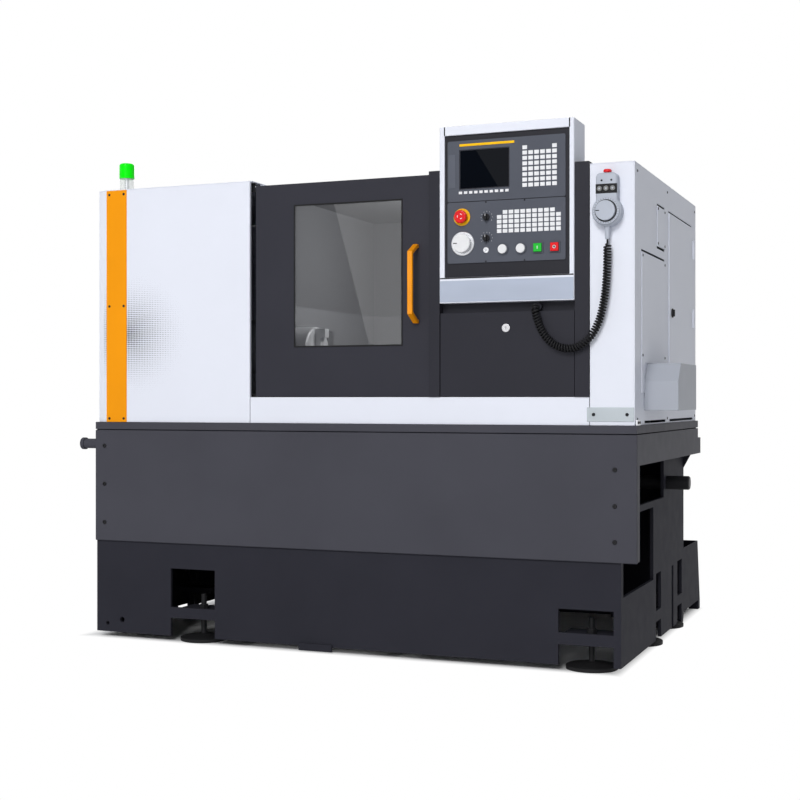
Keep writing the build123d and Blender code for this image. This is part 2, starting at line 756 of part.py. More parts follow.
# Console column: two posts, a back plate, the storage door and its lock
post_front = 4
post_rear = 60
post_over = 8
plate_front = 40
console_rise = 399
console_height = 581
storage_front = 6
storage_gap = 33
lock_share = 0.5
lock_drop = 52
lock_radius = 13.5
lock_head = 3
lock_barrel = 10.5
lock_length = 24
cord_radius = 13.5
cord_y = -14
gland_inset = 129
gland_radius = 14
gland_face = 24
cord_exit = 6
post_top = cabinet_top + post_over
console_bottom = tray_top + console_rise
console_top = console_bottom + console_height
gland_x = console_right - gland_inset
storage_left = console_left + seam
storage_right = console_right - seam
storage_top = console_bottom - storage_gap
gland_z = console_bottom - storage_gap / 2
lock_x = storage_left + (storage_right - storage_left) * lock_share
lock_z = storage_top - lock_drop

with BuildPart() as console_frame:
    for post_left, post_right in ((left_post_start, console_left), (console_right, right_post_end)):
        block(post_left, post_right, post_front, post_rear, sill_top, post_top)
        block(post_left + sheet, post_right - sheet, post_front + sheet, post_rear - sheet,
              sill_top - overrun, post_top - sheet, mode=Mode.SUBTRACT)
    block(console_left, console_right, plate_front, plate_front + sheet, sill_top, console_bottom)
    rod_y(gland_radius, gland_x, gland_face, plate_front, gland_z)
    rod_y(cord_exit, gland_x, plate_front, plate_front + overrun, gland_z, mode=Mode.SUBTRACT)
save(console_frame, "console_frame")

with BuildPart() as storage_door:
    block(storage_left, storage_right, storage_front, plate_front, door_bottom, storage_top)
    block(storage_left + sheet, storage_right - sheet, storage_front + sheet, plate_front + overrun,
          door_bottom + sheet, storage_top - sheet, mode=Mode.SUBTRACT)
    rod_y(lock_barrel + running, lock_x, storage_front - overrun, storage_front + overrun, lock_z,
          mode=Mode.SUBTRACT)
save(storage_door, "storage_door")

with BuildPart() as storage_lock:
    rod_y(lock_radius, lock_x, storage_front - running - lock_head, storage_front - running, lock_z)
    rod_y(lock_barrel, lock_x, storage_front - running, storage_front + lock_length, lock_z)
    block(lock_x - seam / 2, lock_x + seam / 2, storage_front - lock_head - overrun,
          storage_front - lock_head / 2, lock_z - lock_barrel / 2, lock_z + lock_barrel / 2, mode=Mode.SUBTRACT)
save(storage_lock, "storage_lock")

# Console: white housing, dark fascia, display unit and operator panel
console_gap = 1
console_skin = 8
fascia_left_margin = 18
fascia_right_margin = 15
fascia_bottom_margin = 84
fascia_top_margin = 30
fascia_lap = 8
panel_inset = 28
panel_width = 400
display_height = 200
operator_rise = 46
operator_height = 200
panel_thickness = 4
panel_corner = 6
screen = (44, 210, 33, 157)
screen_recess = 1
console_round = 4
housing_left = console_left + console_gap
housing_right = console_right - console_gap
fascia_left = housing_left + fascia_left_margin
fascia_right = housing_right - fascia_right_margin
fascia_face = console_skin
panel_face = fascia_face - panel_thickness
panel_left = console_left + panel_inset
fascia_bottom = console_bottom + fascia_bottom_margin
fascia_top = console_top - fascia_top_margin
operator_bottom = fascia_bottom + operator_rise
operator_top = operator_bottom + operator_height
display_bottom = operator_top + seam
display_top = display_bottom + display_height

# Operator controls: distances from the panel's left edge and down from its top
e_stop_at = (51, 49)
wheel_at = (54, 136)
selectors_at = {"selector_upper": (136, 53), "selector_lower": (136, 121)}
round_buttons_at = {"button_white_left": (191, 159), "button_white_right": (252, 159)}
square_buttons_at = {"button_green": (309, 159), "button_red": (365, 159)}
ring_radius = 28.5
ring_thickness = 3
stem_radius = 6
stem_play = 0.5
stem_end = 14
wheel_base = 39
wheel_base_height = 3
selector_base = 14
selector_base_height = 2
collar_height = 4
collar_width = 3.5
cap_radius = 15
cap_square = 27
cap_play = 0.6
button_travel = 3
cap_front = -6


def from_panel(place):
    """X and Z of a control on the operator panel."""
    return (panel_left + place[0], operator_top - place[1])


round_places = [from_panel(place) for place in round_buttons_at.values()]
square_places = [from_panel(place) for place in square_buttons_at.values()]
selector_places = [from_panel(place) for place in selectors_at.values()]
stem_places = round_places + square_places + selector_places + [from_panel(e_stop_at), from_panel(wheel_at)]
front_plane = Plane.XZ

with BuildPart() as console_housing:
    block(housing_left, housing_right, 0, console_depth, console_bottom, console_top)
    fillet(console_housing.edges().filter_by(Axis.Z).group_by(Axis.Y)[0], console_round)
    block(housing_left + sheet, housing_right - sheet, console_skin, console_depth - sheet,
          console_bottom + sheet, console_top - sheet, mode=Mode.SUBTRACT)
    block(fascia_left, fascia_right, -overrun, console_skin + overrun, fascia_bottom, fascia_top,
          mode=Mode.SUBTRACT)
save(console_housing, "console_housing")

with BuildPart() as console_fascia:
    block(fascia_left - fascia_lap, fascia_right + fascia_lap, fascia_face, fascia_face + sheet,
          fascia_bottom - fascia_lap, fascia_top + fascia_lap)
    for stem_x, stem_z in stem_places:
        rod_y(stem_radius + stem_play, stem_x, 0, stem_end, stem_z, mode=Mode.SUBTRACT)
save(console_fascia, "console_fascia")

with BuildPart() as display_bezel:
    block(panel_left, panel_left + panel_width, panel_face, fascia_face, display_bottom, display_top)
    fillet(display_bezel.edges().filter_by(Axis.Y), panel_corner)
    block(panel_left + screen[0], panel_left + screen[1], panel_face - overrun, fascia_face + overrun,
          display_top - screen[3], display_top - screen[2], mode=Mode.SUBTRACT)
save(display_bezel, "display_bezel")

with BuildPart() as display_glass:
    block(panel_left + screen[0] + glass_play, panel_left + screen[1] - glass_play,
          panel_face + screen_recess, fascia_face,
          display_top - screen[3] + glass_play, display_top - screen[2] - glass_play)
save(display_glass, "display_glass")

with BuildPart() as operator_plate:
    block(panel_left, panel_left + panel_width, panel_face, fascia_face, operator_bottom, operator_top)
    fillet(operator_plate.edges().filter_by(Axis.Y), panel_corner)
    wheel_x, wheel_z = from_panel(wheel_at)
    rod_y(wheel_base, wheel_x, panel_face - wheel_base_height, panel_face, wheel_z)
    for stem_x, stem_z in selector_places:
        rod_y(selector_base, stem_x, panel_face - selector_base_height, panel_face, stem_z)
    with BuildSketch(front_plane.offset(-panel_face)):
        with Locations(*round_places):
            Circle(cap_radius + cap_play + collar_width)
            Circle(cap_radius + cap_play, mode=Mode.SUBTRACT)
        with Locations(*square_places):
            Rectangle(cap_square + 2 * (cap_play + collar_width), cap_square + 2 * (cap_play + collar_width))
            Rectangle(cap_square + 2 * cap_play, cap_square + 2 * cap_play, mode=Mode.SUBTRACT)
    extrude(amount=collar_height)
    for stem_x, stem_z in stem_places:
        rod_y(stem_radius + stem_play, stem_x, -overrun, stem_end, stem_z, mode=Mode.SUBTRACT)
save(operator_plate, "operator_plate")

# Membrane keypads: three sheets with raised keys
membrane = 0.6
key_height = 1.6
key_size = (15, 12)
soft_key_size = (12, 9)
soft_keys = (10, 17.7)
soft_centre = (125.5, 171)
soft_sheet = (176, 16)
entry_columns = (6, 19.8)
entry_rows = (7, 17.4)
entry_centre = (314.5, 105.2)
entry_extra = 36
entry_sheet = (124, 150)
entry_sheet_centre = (314.5, 98)
work_columns = (11, 19.8)
work_rows = (5, 15.3)
work_centre = (278, 69.6)
work_sheet = (222, 82)
key_face = panel_face - membrane


def from_display(place):
    """X and Z of a place on the display unit."""
    return (panel_left + place[0], display_top - place[1])


with BuildPart() as panel_keys:
    with BuildSketch(front_plane.offset(-panel_face)):
        with Locations(from_display(soft_centre)):
            Rectangle(*soft_sheet)
        with Locations(from_display(entry_sheet_centre)):
            Rectangle(*entry_sheet)
        with Locations(from_panel(work_centre)):
            Rectangle(*work_sheet)
    extrude(amount=membrane)
    with BuildSketch(front_plane.offset(-key_face)):
        with Locations(from_display(soft_centre)):
            with GridLocations(soft_keys[1], 0, soft_keys[0], 1):
                Rectangle(*soft_key_size)
        with Locations(from_display(entry_centre)):
            with GridLocations(entry_columns[1], entry_rows[1], entry_columns[0], entry_rows[0]):
                Rectangle(*key_size)
        with Locations(from_display((entry_centre[0], entry_extra))):
            with GridLocations(entry_columns[1] * (entry_columns[0] - 1), 0, 2, 1):
                Rectangle(*key_size)
        with Locations(from_panel(work_centre)):
            with GridLocations(work_columns[1], work_rows[1], work_columns[0] - 2, work_rows[0]):
                Rectangle(*key_size)
        with Locations(from_panel((work_centre[0], work_centre[1] + work_rows[1] / 2))):
            with GridLocations(work_columns[1] * (work_columns[0] - 1), work_rows[1], 2, work_rows[0] - 1):
                Rectangle(*key_size)
    extrude(amount=key_height)
save(panel_keys, "panel_keys")

# Moving controls of the operator panel, each on a stem through the panel
mushroom_radius = 21.5
mushroom_height = 14
mushroom_gap = 7
mushroom_round = 5
wheel_radius = 30
wheel_height = 18
wheel_round = 3
pointer_width = 3
pointer_depth = 1.5
pointer_inner = 14
selector_radius = 11
selector_height = 9
selector_grip = (7, 20, 8)
ring_face = panel_face - ring_thickness
mushroom_back = ring_face - mushroom_gap
wheel_back = panel_face - wheel_base_height - running
selector_back = panel_face - selector_base_height - running
cap_back = panel_face - button_travel - running
stop_x, stop_z = from_panel(e_stop_at)

with BuildPart() as e_stop_ring:
    rod_y(ring_radius, stop_x, ring_face, panel_face, stop_z)
    rod_y(stem_radius + stem_play, stop_x, ring_face - overrun, panel_face + overrun, stop_z, mode=Mode.SUBTRACT)
save(e_stop_ring, "e_stop_ring")

with BuildPart() as e_stop_button:
    rod_y(mushroom_radius, stop_x, mushroom_back - mushroom_height, mushroom_back, stop_z)
    fillet(e_stop_button.edges().filter_by(GeomType.CIRCLE).sort_by(Axis.Y)[0], mushroom_round)
    rod_y(stem_radius, stop_x, mushroom_back, stem_end, stop_z)
save(e_stop_button, "e_stop_button")

with BuildPart() as handwheel:
    rod_y(wheel_radius, wheel_x, wheel_back - wheel_height, wheel_back, wheel_z)
    fillet(handwheel.edges().filter_by(GeomType.CIRCLE).sort_by(Axis.Y)[0], wheel_round)
    block(wheel_x - wheel_radius, wheel_x - pointer_inner, wheel_back - wheel_height - overrun,
          wheel_back - wheel_height + pointer_depth, wheel_z - pointer_width / 2, wheel_z + pointer_width / 2,
          mode=Mode.SUBTRACT)
    rod_y(stem_radius, wheel_x, wheel_back, stem_end, wheel_z)
save(handwheel, "handwheel")

for name, place in selectors_at.items():
    knob_x, knob_z = from_panel(place)
    knob_front = selector_back - selector_height
    with BuildPart() as selector:
        rod_y(selector_radius, knob_x, knob_front, selector_back, knob_z)
        block(knob_x - selector_grip[0] / 2, knob_x + selector_grip[0] / 2, knob_front - selector_grip[2],
              knob_front, knob_z - selector_grip[1] / 2, knob_z + selector_grip[1] / 2)
        rod_y(stem_radius, knob_x, selector_back, stem_end, knob_z)
    save(selector, name)

for name, place in round_buttons_at.items():
    cap_x, cap_z = from_panel(place)
    with BuildPart() as button:
        rod_y(cap_radius, cap_x, cap_front, cap_back, cap_z)
        chamfer(button.edges().filter_by(GeomType.CIRCLE).sort_by(Axis.Y)[0], console_gap)
        rod_y(stem_radius, cap_x, cap_back, stem_end, cap_z)
    save(button, name)

for name, place in square_buttons_at.items():
    cap_x, cap_z = from_panel(place)
    with BuildPart() as button:
        block(cap_x - cap_square / 2, cap_x + cap_square / 2, cap_front, cap_back,
              cap_z - cap_square / 2, cap_z + cap_square / 2)
        chamfer(button.faces().sort_by(Axis.Y)[0].edges(), console_gap)
        rod_y(stem_radius, cap_x, cap_back, stem_end, cap_z)
    save(button, name)

# Hand pendant on the right front panel: body with a strain relief, dial and stop button
pendant_inset = 82
pendant_drop = 158
pendant_radius = 47
pendant_width = 68
pendant_rise = 120
pendant_overlap = 20
pendant_round = 14
pendant_edge = 4
band_rise = 70
band_knob = 7
band_knob_height = 7
band_knob_pitch = 21
relief_length = 40
relief_top = 10
relief_end = 7
dial_radius = 42
dial_rim = 7
dial_cap_radius = 31
dial_cap = dial_depth - dial_rim - running
dial_pointer_inner = 18
stop_radius = 13
stop_height = 9
stop_travel = 3
stop_stem = 18
pendant_x = cabinet_right - pendant_inset
pendant_disc_z = cabinet_top - pendant_drop
pendant_top = pendant_disc_z + pendant_rise
pendant_front = cover_setback - pendant_depth
relief_bottom = pendant_disc_z - pendant_radius - relief_length

with BuildPart() as pendant_body:
    with BuildSketch(front_plane.offset(-cover_setback)):
        with Locations((pendant_x, pendant_disc_z)):
            Circle(pendant_radius)
        with Locations((pendant_x, (pendant_top + pendant_disc_z - pendant_overlap) / 2)):
            RectangleRounded(pendant_width, pendant_top - pendant_disc_z + pendant_overlap, pendant_round)
    extrude(amount=pendant_depth)
    chamfer(pendant_body.faces().sort_by(Axis.Y)[0].edges(), pendant_edge)
    for knob_step in (-1, 0, 1):
        rod_y(band_knob, pendant_x + knob_step * band_knob_pitch, pendant_front - band_knob_height, pendant_front,
              pendant_disc_z + band_rise)
    rod_y(stem_radius + running, pendant_x, pendant_front - overrun, pendant_front + stop_stem, pendant_disc_z,
          mode=Mode.SUBTRACT)
    with Locations((pendant_x, cord_y, pendant_top)):
        Cylinder(stem_radius + running, 2 * (stop_stem + overrun), mode=Mode.SUBTRACT)
    with Locations((pendant_x, cord_y, relief_bottom)):
        Cone(relief_end, relief_top, relief_length + relief_top, align=(Align.CENTER, Align.CENTER, Align.MIN))
save(pendant_body, "pendant_body")

dial_back = pendant_front - running
dial_face = dial_back - dial_rim
dial_top = dial_face - dial_cap

with BuildPart() as pendant_dial:
    rod_y(dial_radius, pendant_x, dial_face, dial_back, pendant_disc_z)
    rod_y(dial_cap_radius, pendant_x, dial_top, dial_face, pendant_disc_z)
    block(pendant_x - dial_cap_radius, pendant_x - dial_pointer_inner, dial_top - overrun, dial_top + pointer_depth,
          pendant_disc_z - pointer_width / 2, pendant_disc_z + pointer_width / 2, mode=Mode.SUBTRACT)
    rod_y(stem_radius, pendant_x, dial_back, pendant_front + stop_stem / 2, pendant_disc_z)
save(pendant_dial, "pendant_dial")

with BuildPart() as pendant_stop:
    with Locations((pendant_x, cord_y, pendant_top + stop_travel + running)):
        Cylinder(stop_radius, stop_height, align=(Align.CENTER, Align.CENTER, Align.MIN))
        Cylinder(stem_radius, stop_stem, align=(Align.CENTER, Align.CENTER, Align.MAX))
    fillet(pendant_stop.edges().group_by(Axis.Z)[-1], stop_height / 2)
save(pendant_stop, "pendant_stop")

# Curly cord from the pendant to its gland in the slot above the storage door
cord_route = ((pendant_x, 1318), (1908, 1262), (1904, 1212), (1897, 1166), (1885, 1118), (1860, 1068), (1822, 1036),
              (1781, 1027), (1736, 1041), (1702, 1077), (1682, 1120))
cord_points = [Vector(pendant_x, cord_y, relief_bottom)]
cord_points += [Vector(x, cord_y, z) for x, z in cord_route]
cord_points += [Vector(gland_x, cord_y, gland_z), Vector(gland_x, gland_face, gland_z)]
bend_share = 0.45


def bend_radii(points):
    """The bend at each inner point, as wide as the shorter run beside it allows."""
    radii = []
    for before, here, after in zip(points, points[1:], points[2:]):
        run_in = here - before
        run_out = after - here
        half_turn = math.radians(run_in.get_angle(run_out)) / 2
        radii.append(bend_share * min(run_in.length, run_out.length) / math.tan(half_turn))
    return radii


cord_radii = bend_radii(cord_points)
print("cord bend radii, mm:", [round(radius, 1) for radius in cord_radii])

with BuildPart() as pendant_cord:
    with BuildLine():
        FilletPolyline(*cord_points, radius=cord_radii)
    with BuildSketch(Plane(origin=cord_points[0], z_dir=cord_points[1] - cord_points[0])):
        Circle(cord_radius)
    sweep()
save(pendant_cord, "pendant_cord")

# Headstock on its pedestal, built-in-motor spindle with its rotary cylinder, and three-jaw chuck
head_gap = 16
head_length = 440
head_radius = 135
head_half_width = 115
spindle_radius = 60
spindle_tail = 40
nose_radius = 82
nose_reach = 18
cylinder_reach = 80
cylinder_lap = 28
cylinder_radius = 72
spindle_bore = 26
chuck_radius = 105
chuck_length = 86
chuck_chamfer = 4
jaw_inner = 34
jaw_outer = 98
jaw_width = 34
jaw_step = 66
jaw_length = 38
jaw_low = 20
head_right = partition_x - head_gap
head_left = head_right - head_length
spindle_rear = head_left - spindle_tail
cylinder_rear = spindle_rear - cylinder_reach
cylinder_end = spindle_rear + cylinder_lap
nose_end = partition_x + nose_reach
chuck_face = nose_end + chuck_length

with BuildPart() as headstock:
    rod_x(head_radius, head_left, head_right, spindle_y, spindle_z)
    block(head_left, head_right, spindle_y - head_half_width, spindle_y + head_half_width, tray_floor, spindle_z)
    rod_x(spindle_radius + running, head_left - overrun, head_right + overrun, spindle_y, spindle_z,
          mode=Mode.SUBTRACT)
save(headstock, "headstock")

with BuildPart() as spindle:
    rod_x(spindle_radius, spindle_rear, head_right + seam, spindle_y, spindle_z)
    rod_x(nose_radius, head_right + seam, nose_end, spindle_y, spindle_z)
    rod_x(cylinder_radius, cylinder_rear, cylinder_end, spindle_y, spindle_z)
    rod_x(spindle_bore, cylinder_rear - overrun, nose_end + overrun, spindle_y, spindle_z, mode=Mode.SUBTRACT)
save(spindle, "spindle")

with BuildPart() as chuck:
    rod_x(chuck_radius, nose_end, chuck_face, spindle_y, spindle_z)
    chamfer(chuck.edges().filter_by(GeomType.CIRCLE), chuck_chamfer)
    for face_x, inner, length in ((chuck_face, jaw_inner, jaw_low), (chuck_face, jaw_step, jaw_length)):
        with BuildSketch(Plane.YZ.offset(face_x)):
            with Locations((spindle_y, spindle_z)):
                with PolarLocations((inner + jaw_outer) / 2, 3, start_angle=90):
                    Rectangle(jaw_outer - inner, jaw_width)
        extrude(amount=length)
    rod_x(spindle_bore, nose_end - overrun, chuck_face + overrun, spindle_y, spindle_z, mode=Mode.SUBTRACT)
save(chuck, "chuck")

# Slant bed with its guide rails; the bed plane holds the slides' own axes
bed_gap = 6
bed_end_gap = 102
bed_low = -160
bed_high = 300
bed_back = 60
bed_wall = 26
guide_low = -110
guide_high = 230
guide_width = 30
guide_height = 26
guide_inset = 94
guide_end = 50
screw_radius_z = 12
journal_radius = 9
bearing_half = 26
bearing_height = 40
bearing_length = 34
screw_inset = 134
screw_end = 4
bed_left = partition_x + sheet + bed_gap
bed_right = cabinet_right - bed_end_gap
guide_left = partition_x + guide_inset
guide_right = bed_right - guide_end
screw_left = partition_x + screw_inset
screw_right = bed_right - screw_end
bed_plane = Plane(origin=(0, rail_y, rail_z), x_dir=(1, 0, 0), z_dir=(0, -math.sin(slope), math.cos(slope)))
bed_foot_y = rail_y + bed_low * math.cos(slope)
bed_foot_z = rail_z + bed_low * math.sin(slope)
bed_head_y = rail_y + bed_high * math.cos(slope)
bed_head_z = rail_z + bed_high * math.sin(slope)
bearings = (screw_left - bearing_length / 2, bed_right - bearing_length)

with BuildPart() as bed:
    with BuildSketch(Plane.YZ.offset(bed_left)):
        with BuildLine():
            Polyline((bed_foot_y, tray_floor), (bed_foot_y, bed_foot_z), (bed_head_y, bed_head_z),
                     (bed_head_y + bed_back, bed_head_z - bed_back), (bed_head_y + bed_back, tray_floor), close=True)
        make_face()
    extrude(amount=bed_right - bed_left)
    with BuildSketch(Plane.YZ.offset(bed_left - overrun)):
        with BuildLine():
            Polyline((bed_foot_y, tray_floor), (bed_foot_y, bed_foot_z), (bed_head_y, bed_head_z),
                     (bed_head_y + bed_back, bed_head_z - bed_back), (bed_head_y + bed_back, tray_floor), close=True)
        make_face()
        offset(amount=-bed_wall, kind=Kind.INTERSECTION, mode=Mode.REPLACE)
    extrude(amount=bed_right - bed_left - bed_wall + overrun, mode=Mode.SUBTRACT)
    with Locations(bed_plane.location):
        for bearing_x in bearings:
            block(bearing_x, bearing_x + bearing_length, screw_along - bearing_half, screw_along + bearing_half,
                  0, bearing_height)
        rod_x(journal_radius + running, screw_left - bearing_length, bed_right + overrun, screw_along, screw_above,
              mode=Mode.SUBTRACT)
save(bed, "bed")

with BuildPart() as z_rails:
    with Locations(bed_plane.location):
        for guide in (guide_low, guide_high):
            block(guide_left, guide_right, guide - guide_width / 2, guide + guide_width / 2, 0, guide_height)
save(z_rails, "z_rails")

with BuildPart() as z_screw:
    with Locations(bed_plane.location):
        rod_x(journal_radius, screw_left - bearing_length / 2, screw_right, screw_along, screw_above)
        rod_x(screw_radius_z, screw_left + bearing_length / 2 + running, bed_right - bearing_length - running,
              screw_along, screw_above)
save(z_screw, "z_screw")

motor_length = 130
encoder_half = 30
encoder_length = 62
motor_round = 6

with BuildPart() as z_motor:
    block(bed_right, bed_right + motor_length, screw_y - motor_half, screw_y + motor_half,
          screw_z - motor_half, screw_z + motor_half)
    fillet(z_motor.edges().filter_by(Axis.X), motor_round)
    block(bed_right + motor_length, bed_right + motor_length + encoder_length, screw_y - encoder_half,
          screw_y + encoder_half, screw_z - encoder_half, screw_z + encoder_half)
save(z_motor, "z_motor")

# Saddle on the guide rails, turret slide across it and the tool turret
saddle_end = 230
saddle_length = 260
saddle_low = -150
saddle_high = 480
saddle_under = 34
saddle_top = 74
runner_half = 36
runner_bottom = 4
runner_play = 0.5
nut_half = 24
nut_length = 100
cross_inset = 45
cross_width = 26
cross_low = 40
cross_high = 475
cross_top = 92
slide_inset = 10
slide_low = 250
slide_high = 470
slide_bottom = 80
slide_top = 116
turret_along = 361
turret_half = 85
turret_overhang = 2
turret_length = 242
disc_length = 76
disc_radius = 130
disc_gap = 4
disc_hub = 34
disc_cap_radius = 60
disc_cap = 12
tool_sides = 8
tool_reach = 160
tool_inner = 90
tool_width = 24
tool_offset = 26
motor_x_half = 45
motor_x_length = 110
saddle_right = bed_right - saddle_end
saddle_left = saddle_right - saddle_length
turret_left = saddle_left - turret_overhang
turret_right = turret_left + turret_length
disc_left = turret_left - disc_length - disc_gap
turret_axis_y = rail_y + turret_along * math.cos(slope) - rail_drop * math.sin(slope)
turret_axis_z = rail_z + turret_along * math.sin(slope) + rail_drop * math.cos(slope)
saddle_middle = (saddle_left + saddle_right) / 2

with BuildPart() as saddle:
    with Locations(bed_plane.location):
        block(saddle_left, saddle_right, saddle_low, saddle_high, saddle_under, saddle_top)
        for guide in (guide_low, guide_high):
            block(saddle_left, saddle_right, guide - runner_half, guide + runner_half, runner_bottom, saddle_under)
        block(saddle_middle - nut_length / 2, saddle_middle + nut_length / 2, screw_along - nut_half,
              screw_along + nut_half, runner_bottom, saddle_under)
        for cross_x in (saddle_left + cross_inset, saddle_right - cross_inset):
            block(cross_x - cross_width / 2, cross_x + cross_width / 2, cross_low, cross_high, saddle_top, cross_top)
        block(saddle_middle - motor_x_half, saddle_middle + motor_x_half, saddle_high,
              saddle_high + motor_x_length, saddle_under, saddle_under + 2 * motor_x_half)
        for guide in (guide_low, guide_high):
            block(saddle_left - overrun, saddle_right + overrun, guide - guide_width / 2 - runner_play,
                  guide + guide_width / 2 + runner_play, 0, guide_height + runner_play, mode=Mode.SUBTRACT)
        rod_x(screw_radius_z + runner_play, saddle_left, saddle_right, screw_along, screw_above, mode=Mode.SUBTRACT)
save(saddle, "saddle")

with BuildPart() as turret_slide:
    with Locations(bed_plane.location):
        block(saddle_left + slide_inset, saddle_right - slide_inset, slide_low, slide_high, slide_bottom, slide_top)
        for cross_x in (saddle_left + cross_inset, saddle_right - cross_inset):
            block(cross_x - cross_width / 2 - runner_play, cross_x + cross_width / 2 + runner_play,
                  slide_low - overrun, slide_high + overrun, slide_bottom - overrun, cross_top + runner_play,
                  mode=Mode.SUBTRACT)
        block(turret_left, turret_right, turret_along - turret_half, turret_along + turret_half, slide_top, rail_drop)
        rod_x(turret_half, turret_left, turret_right, turret_along, rail_drop)
        rod_x(disc_hub + running, turret_left - overrun, turret_left + disc_hub, turret_along, rail_drop,
              mode=Mode.SUBTRACT)
save(turret_slide, "turret_slide")

with BuildPart() as turret_disc:
    disc_plane = Plane(origin=(disc_left, turret_axis_y, turret_axis_z), x_dir=bed_plane.y_dir, z_dir=(1, 0, 0))
    with BuildSketch(disc_plane):
        RegularPolygon(disc_radius, tool_sides, rotation=180 / tool_sides)
    extrude(amount=disc_length)
    with BuildSketch(disc_plane.offset(tool_offset)):
        with PolarLocations((tool_inner + tool_reach) / 2, tool_sides):
            Rectangle(tool_reach - tool_inner, tool_width)
    extrude(amount=tool_width)
    with BuildSketch(disc_plane.offset(-disc_cap)):
        Circle(disc_cap_radius)
    extrude(amount=disc_cap)
    with BuildSketch(disc_plane.offset(disc_length)):
        Circle(disc_hub)
    extrude(amount=disc_gap + disc_hub - running)
save(turret_disc, "turret_disc")
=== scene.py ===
import json
import math
import bpy
from mathutils import Matrix, Vector


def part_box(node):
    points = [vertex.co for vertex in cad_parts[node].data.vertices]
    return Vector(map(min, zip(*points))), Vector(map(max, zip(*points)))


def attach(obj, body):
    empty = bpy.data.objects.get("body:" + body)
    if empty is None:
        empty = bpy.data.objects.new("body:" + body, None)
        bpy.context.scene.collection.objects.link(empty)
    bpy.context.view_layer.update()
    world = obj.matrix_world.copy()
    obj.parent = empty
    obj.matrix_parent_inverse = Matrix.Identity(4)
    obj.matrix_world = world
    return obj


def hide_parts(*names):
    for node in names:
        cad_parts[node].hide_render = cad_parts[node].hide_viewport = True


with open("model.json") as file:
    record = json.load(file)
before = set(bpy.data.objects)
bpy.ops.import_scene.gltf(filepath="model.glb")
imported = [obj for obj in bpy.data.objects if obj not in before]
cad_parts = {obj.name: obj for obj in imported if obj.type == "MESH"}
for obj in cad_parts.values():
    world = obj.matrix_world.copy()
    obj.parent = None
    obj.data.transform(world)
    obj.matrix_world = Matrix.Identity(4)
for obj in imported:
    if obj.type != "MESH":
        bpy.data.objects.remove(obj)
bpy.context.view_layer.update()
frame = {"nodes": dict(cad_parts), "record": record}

bl_info = {
    "name": "Turning lathe dresser",
    "version": (1, 0, 0),
    "blender": (4, 5, 0),
    "location": "View3D > Sidebar > Lathe",
    "description": "Finishes the packed turning lathe: paint, panels, controls, cord and stage",
    "category": "Object",
}

TRAY_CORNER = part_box("drip_tray")[0]
BASE_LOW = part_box("base_frame")[0]
CABINET_LOW, CABINET_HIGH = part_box("cabinet_shell")
RECORD = frame["record"]
BODY_OF = {node: body for body, nodes in RECORD["behaviour"]["bodies"].items() for node in nodes}
MM = 0.001
MERGE_DISTANCE = 0.000005
# Degrees: flatter faces merge, sharper edges are rounded, gentler folds are shaded smooth
FLAT_ANGLE = 0.4
EDGE_ANGLE = 40
SKIN_EDGE_ANGLE = 42
SMOOTH_ANGLE = 35
# Rounding of dial marks and liner sheets, in metres
TICK_EDGE = 0.0001
LINER_EDGE = 0.0003


def spot(x, y, z):
    """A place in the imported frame, from millimetres off the tray's left front corner and the floor."""
    return Vector((TRAY_CORNER.x + x * MM, TRAY_CORNER.y + y * MM, z * MM))


class LatheSizes(bpy.types.PropertyGroup):
    """Sizes of the finishing pieces."""
    edge: bpy.props.FloatProperty(name="Sheet edge", description="Rounding of folded sheet edges",
                                  default=0.0012, min=0.0, unit="LENGTH")
    cord_diameter: bpy.props.FloatProperty(name="Cord", description="Diameter of the pendant's cord",
                                           default=0.0058, min=0.001, unit="LENGTH")
    coil_radius: bpy.props.FloatProperty(name="Coil radius", description="Radius of the cord's coil",
                                         default=0.0104, min=0.001, unit="LENGTH")
    coil_pitch: bpy.props.FloatProperty(name="Coil pitch", description="Distance between turns",
                                        default=0.0092, min=0.001, unit="LENGTH")
    lens: bpy.props.FloatProperty(name="Lens", description="Focal length of the camera",
                                  default=61.7, min=1.0, unit="CAMERA")


def colour(label, words, default):
    """A colour property."""
    return bpy.props.FloatVectorProperty(name=label, description=words, size=3, subtype="COLOR",
                                         min=0.0, max=1.0, default=default)


class LatheColours(bpy.types.PropertyGroup):
    """Colours of the paints and plastics."""
    white: colour("White paint", "Covers, console and right end", (0.80, 0.82, 0.90))
    charcoal: colour("Charcoal paint", "Drip tray, apron and drain pipe", (0.066, 0.066, 0.080))
    door: colour("Door paint", "Sliding door", (0.031, 0.031, 0.041))
    post: colour("Post paint", "Console frame and storage door", (0.024, 0.024, 0.032))
    base: colour("Base paint", "Welded base and tank", (0.031, 0.031, 0.040))
    liner: colour("Inner liner", "Sheets that line the work space", (0.20, 0.205, 0.215))
    orange: colour("Orange paint", "Trim strip", (0.93, 0.33, 0.003))
    amber: colour("Amber handle", "Door handle", (0.90, 0.31, 0.001))
    fascia: colour("Fascia", "Dark surround of the panels", (0.021, 0.021, 0.027))
    panel: colour("Panel grey", "Display unit and operator panel", (0.098, 0.105, 0.128))
    # A mid grey, about half as light as the white covers
    hood: colour("Hood paint", "Hood on the right end", (0.40, 0.42, 0.47))
    band: colour("Console band", "Plate under the panels", (0.48, 0.53, 0.64))
    plate: colour("Corner plate", "Plate at the right corner", (0.44, 0.48, 0.51))
    pendant: colour("Pendant", "Pendant shell and dial", (0.47, 0.50, 0.57))
    lamp: colour("Lamp", "Signal lamp lens", (0.0, 1.0, 0.002))
    floor: colour("Floor", "Studio floor", (0.86, 0.86, 0.86))


def sizes():
    """The sizes set in the panel."""
    return bpy.context.scene.lathe_sizes


def colours():
    """The colours set in the panel."""
    return bpy.context.scene.lathe_colours


# Selecting and finishing pieces


